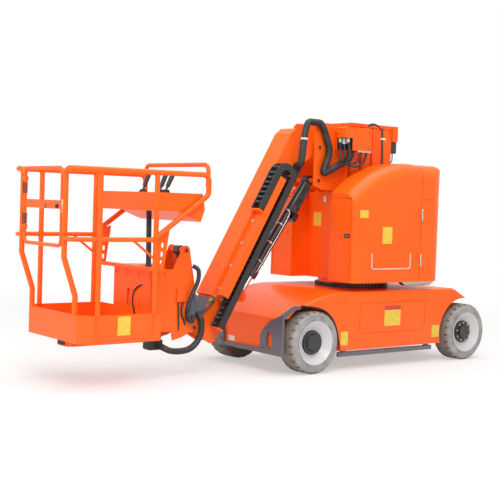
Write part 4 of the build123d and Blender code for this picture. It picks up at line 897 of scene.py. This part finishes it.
route = [
    (0.748, 0.090, 0.452), (0.744, 0.130, 0.440), (0.730, 0.134, 0.390), (0.732, 0.134, 0.310),
    (0.772, 0.134, 0.235), (0.840, 0.134, 0.190), (0.930, 0.134, 0.182), (1.010, 0.130, 0.190),
    (1.060, 0.112, 0.218), (1.060, 0.050, 0.225),
]
trunk = hose("head_hose_trunk", route, 0.0240, braid, None)
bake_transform(trunk)
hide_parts("head_hose")
route = [
    (0.614, 0.096, 0.545), (0.618, 0.114, 0.542), (0.655, 0.116, 0.500), (0.700, 0.114, 0.462),
    (0.736, 0.104, 0.440),
]
hose("fly_union_hose", route, 0.0085, braid, "fly")
route = [
    (0.800, 0.098, 0.812), (0.772, 0.132, 0.800), (0.770, 0.137, 0.730), (0.790, 0.137, 0.670),
    (0.838, 0.138, 0.592), (0.872, 0.138, 0.490), (0.868, 0.138, 0.425), (0.832, 0.136, 0.398),
    (0.800, 0.128, 0.412), (0.786, 0.090, 0.440),
]
hose("head_loop_hose", route, 0.0160, braid, "head")
guard_corners = [(0.640, 0.575), (0.806, 0.602), (0.838, 0.432), (0.716, 0.425)]
top_left, top_right, foot_right, foot_left = [Vector(corner) for corner in guard_corners]
bpy.ops.object.select_all(action="DESELECT")
bpy.ops.mesh.primitive_grid_add(x_subdivisions=12, y_subdivisions=12, size=1)
guard = bpy.context.object
for vertex in guard.data.vertices:
    across_share = vertex.co.x + 0.5
    down_share = 0.5 - vertex.co.y
    upper = top_left.lerp(top_right, across_share)
    lower = foot_left.lerp(foot_right, across_share)
    spot = upper.lerp(lower, down_share)
    vertex.co = (spot.x, 0.1015, spot.y)
bpy.ops.object.mode_set(mode="EDIT")
bpy.ops.mesh.select_all(action="SELECT")
bpy.ops.mesh.inset(thickness=0.0040, use_individual=True)
bpy.ops.mesh.delete(type="FACE")
bpy.ops.object.mode_set(mode="OBJECT")
wall = guard.modifiers.new("sheet", "SOLIDIFY")
wall.thickness = 0.003
wall.offset = 0.0
bpy.ops.object.modifier_apply(modifier="sheet")
settle("fly_guard", slate, "fly")
brass = metal("brass_fitting", (0.60, 0.42, 0.16), 0.34)
union = bolt_master(0.022, 0.018)
copies(union, [((0.614, 0.0845, 0.545), (0, 1, 0))], "hose_union", brass, "fly")
bpy.data.objects.remove(union, do_unlink=True)

# Basket
# Bent tube welded at every joint, over a folded floor with toe boards. Short struts brace the
# middle rails at their rear ends, and the conduit under the tray is corrugated.
conduit = black_rubber("corrugated_conduit", (0.012, 0.012, 0.013), 0.5, ribs=32.0)
finish_nodes(conduit, "tray_conduit")
finish_nodes(orange, "basket_floor", "basket_rails", "back_panel", "control_tray", "gate")


def weld_master(radius):
    """A weld bead around a tube, its ripples laid round the ring."""
    bpy.ops.object.select_all(action="DESELECT")
    bpy.ops.mesh.primitive_torus_add(
        major_radius=radius, minor_radius=0.0034, major_segments=36, minor_segments=6
    )
    bead = bpy.context.object
    for index, vertex in enumerate(bead.data.vertices):
        if (index // 6) % 3 == 0:
            vertex.co.z *= 1.35
    return bead


rail_y = 0.423
bead = weld_master(0.0185)
weld_places = []
for side in (1, -1):
    for x in (1.348, 1.793):
        for z in (0.5145, 1.0045, 1.0415, 1.4685):
            weld_places.append(((x, side * rail_y, z), (0, 0, 1)))
copies(bead, weld_places, "rail_welds", orange, "platform")
bpy.data.objects.remove(bead, do_unlink=True)
strut_line = [(1.366, 0.898), (1.440, 0.952), (1.522, 1.012)]
for name, side in (("left", 1), ("right", -1)):
    route = [(x, side * rail_y, z) for x, z in strut_line]
    hose("rear_strut_" + name, route, 0.009, orange, "platform")
panel_bolts = [
    (-0.180, 0.760), (-0.020, 0.760), (0.130, 0.760), (0.270, 0.760), (-0.180, 0.360), (0.270, 0.360),
]
places = [((1.2993, y, z), (1, 0, 0)) for y, z in panel_bolts]
copies(small_bolt, places, "panel_bolts", orange, "platform")
route = [
    (1.305, 0.187, 0.690), (1.308, 0.132, 0.676), (1.309, 0.086, 0.630), (1.309, 0.074, 0.570),
    (1.307, 0.086, 0.515), (1.305, 0.103, 0.470),
]
hose("panel_cable", route, 0.0055, rubber_black, "platform")
plate(
    "channel_plug", (1.830, 0.0, 0.291), (1, 0, 0), 0.104, 0.044,
    rubber_black, "platform", thick=0.004, corner=0.006,
)

# Gate
# The gate hangs in two collars and is pulled shut by two coil springs. A rubber buffer and a
# spring pin meet the front post.
gate_hinge_y = -0.280
for name, low_z in (("low", 1.104), ("high", 1.318)):
    bpy.ops.object.select_all(action="DESELECT")
    bpy.ops.mesh.primitive_circle_add(
        vertices=8, radius=0.0022, location=(0.0176, 0, 0), rotation=(radians(90), 0, 0)
    )
    wire = bpy.context.object
    bpy.ops.object.transform_apply(location=True, rotation=True, scale=True)
    coil = wire.modifiers.new("coil", "SCREW")
    coil.axis = "Z"
    coil.screw_offset = 0.0095
    coil.iterations = 8
    coil.steps = 20
    coil.render_steps = 20
    coil.use_merge_vertices = True
    bpy.ops.object.modifier_apply(modifier="coil")
    bpy.ops.object.mode_set(mode="EDIT")
    bpy.ops.mesh.select_all(action="SELECT")
    bpy.ops.mesh.normals_make_consistent(inside=False)
    bpy.ops.object.mode_set(mode="OBJECT")
    wire.location = (1.995, gate_hinge_y, low_z)
    settle("gate_spring_" + name, black_paint, "gate")
bpy.ops.object.select_all(action="DESELECT")
bpy.ops.mesh.primitive_cylinder_add(
    vertices=28, radius=0.013, depth=0.018, location=(2.005, 0.215, 1.236), rotation=(0, radians(90), 0)
)
buffer = bpy.context.object
edge = buffer.modifiers.new("soft_edge", "BEVEL")
edge.width = 0.004
edge.segments = 3
bpy.ops.object.modifier_apply(modifier="soft_edge")
settle("gate_buffer", rubber_black, "gate")
bpy.ops.object.select_all(action="DESELECT")
bpy.ops.mesh.primitive_torus_add(
    major_radius=0.0125, minor_radius=0.0030, major_segments=32, minor_segments=8,
    location=(1.9995, 0.042, 1.234), rotation=(0, radians(90), 0),
)
settle("gate_eye", black_paint, "gate")
ring_sleeve("gate_pin", 1.196, 1.282, (2.004, 0.300), 0.0085, zinc, "platform")

# Control tray
# A folded tray between the rails. Three thick grips stand on rubber boots with folds, and each
# boot leans with its grip.
boot_foot_z = 1.352
boot_lean = 0.2
for index, (x, y) in enumerate(((1.150, -0.078), (1.150, 0.150), (1.150, 0.226))):
    folds = []
    for radius, z in ((0.0275, 1.3560), (0.0235, 1.3630), (0.0190, 1.3700)):
        bpy.ops.object.select_all(action="DESELECT")
        bpy.ops.mesh.primitive_torus_add(
            major_radius=radius, minor_radius=0.0042, major_segments=36, minor_segments=8,
            location=(x - (z - boot_foot_z) * boot_lean, y, z),
        )
        folds.append(bpy.context.object)
    bpy.ops.object.select_all(action="DESELECT")
    for fold in folds:
        fold.select_set(True)
    bpy.context.view_layer.objects.active = folds[0]
    bpy.ops.object.join()
    settle("grip_boot_" + str(index), rubber_black, "platform", smooth=60)
for master in (small_bolt, cap_bolt, pin_bolt):
    bpy.data.objects.remove(master, do_unlink=True)
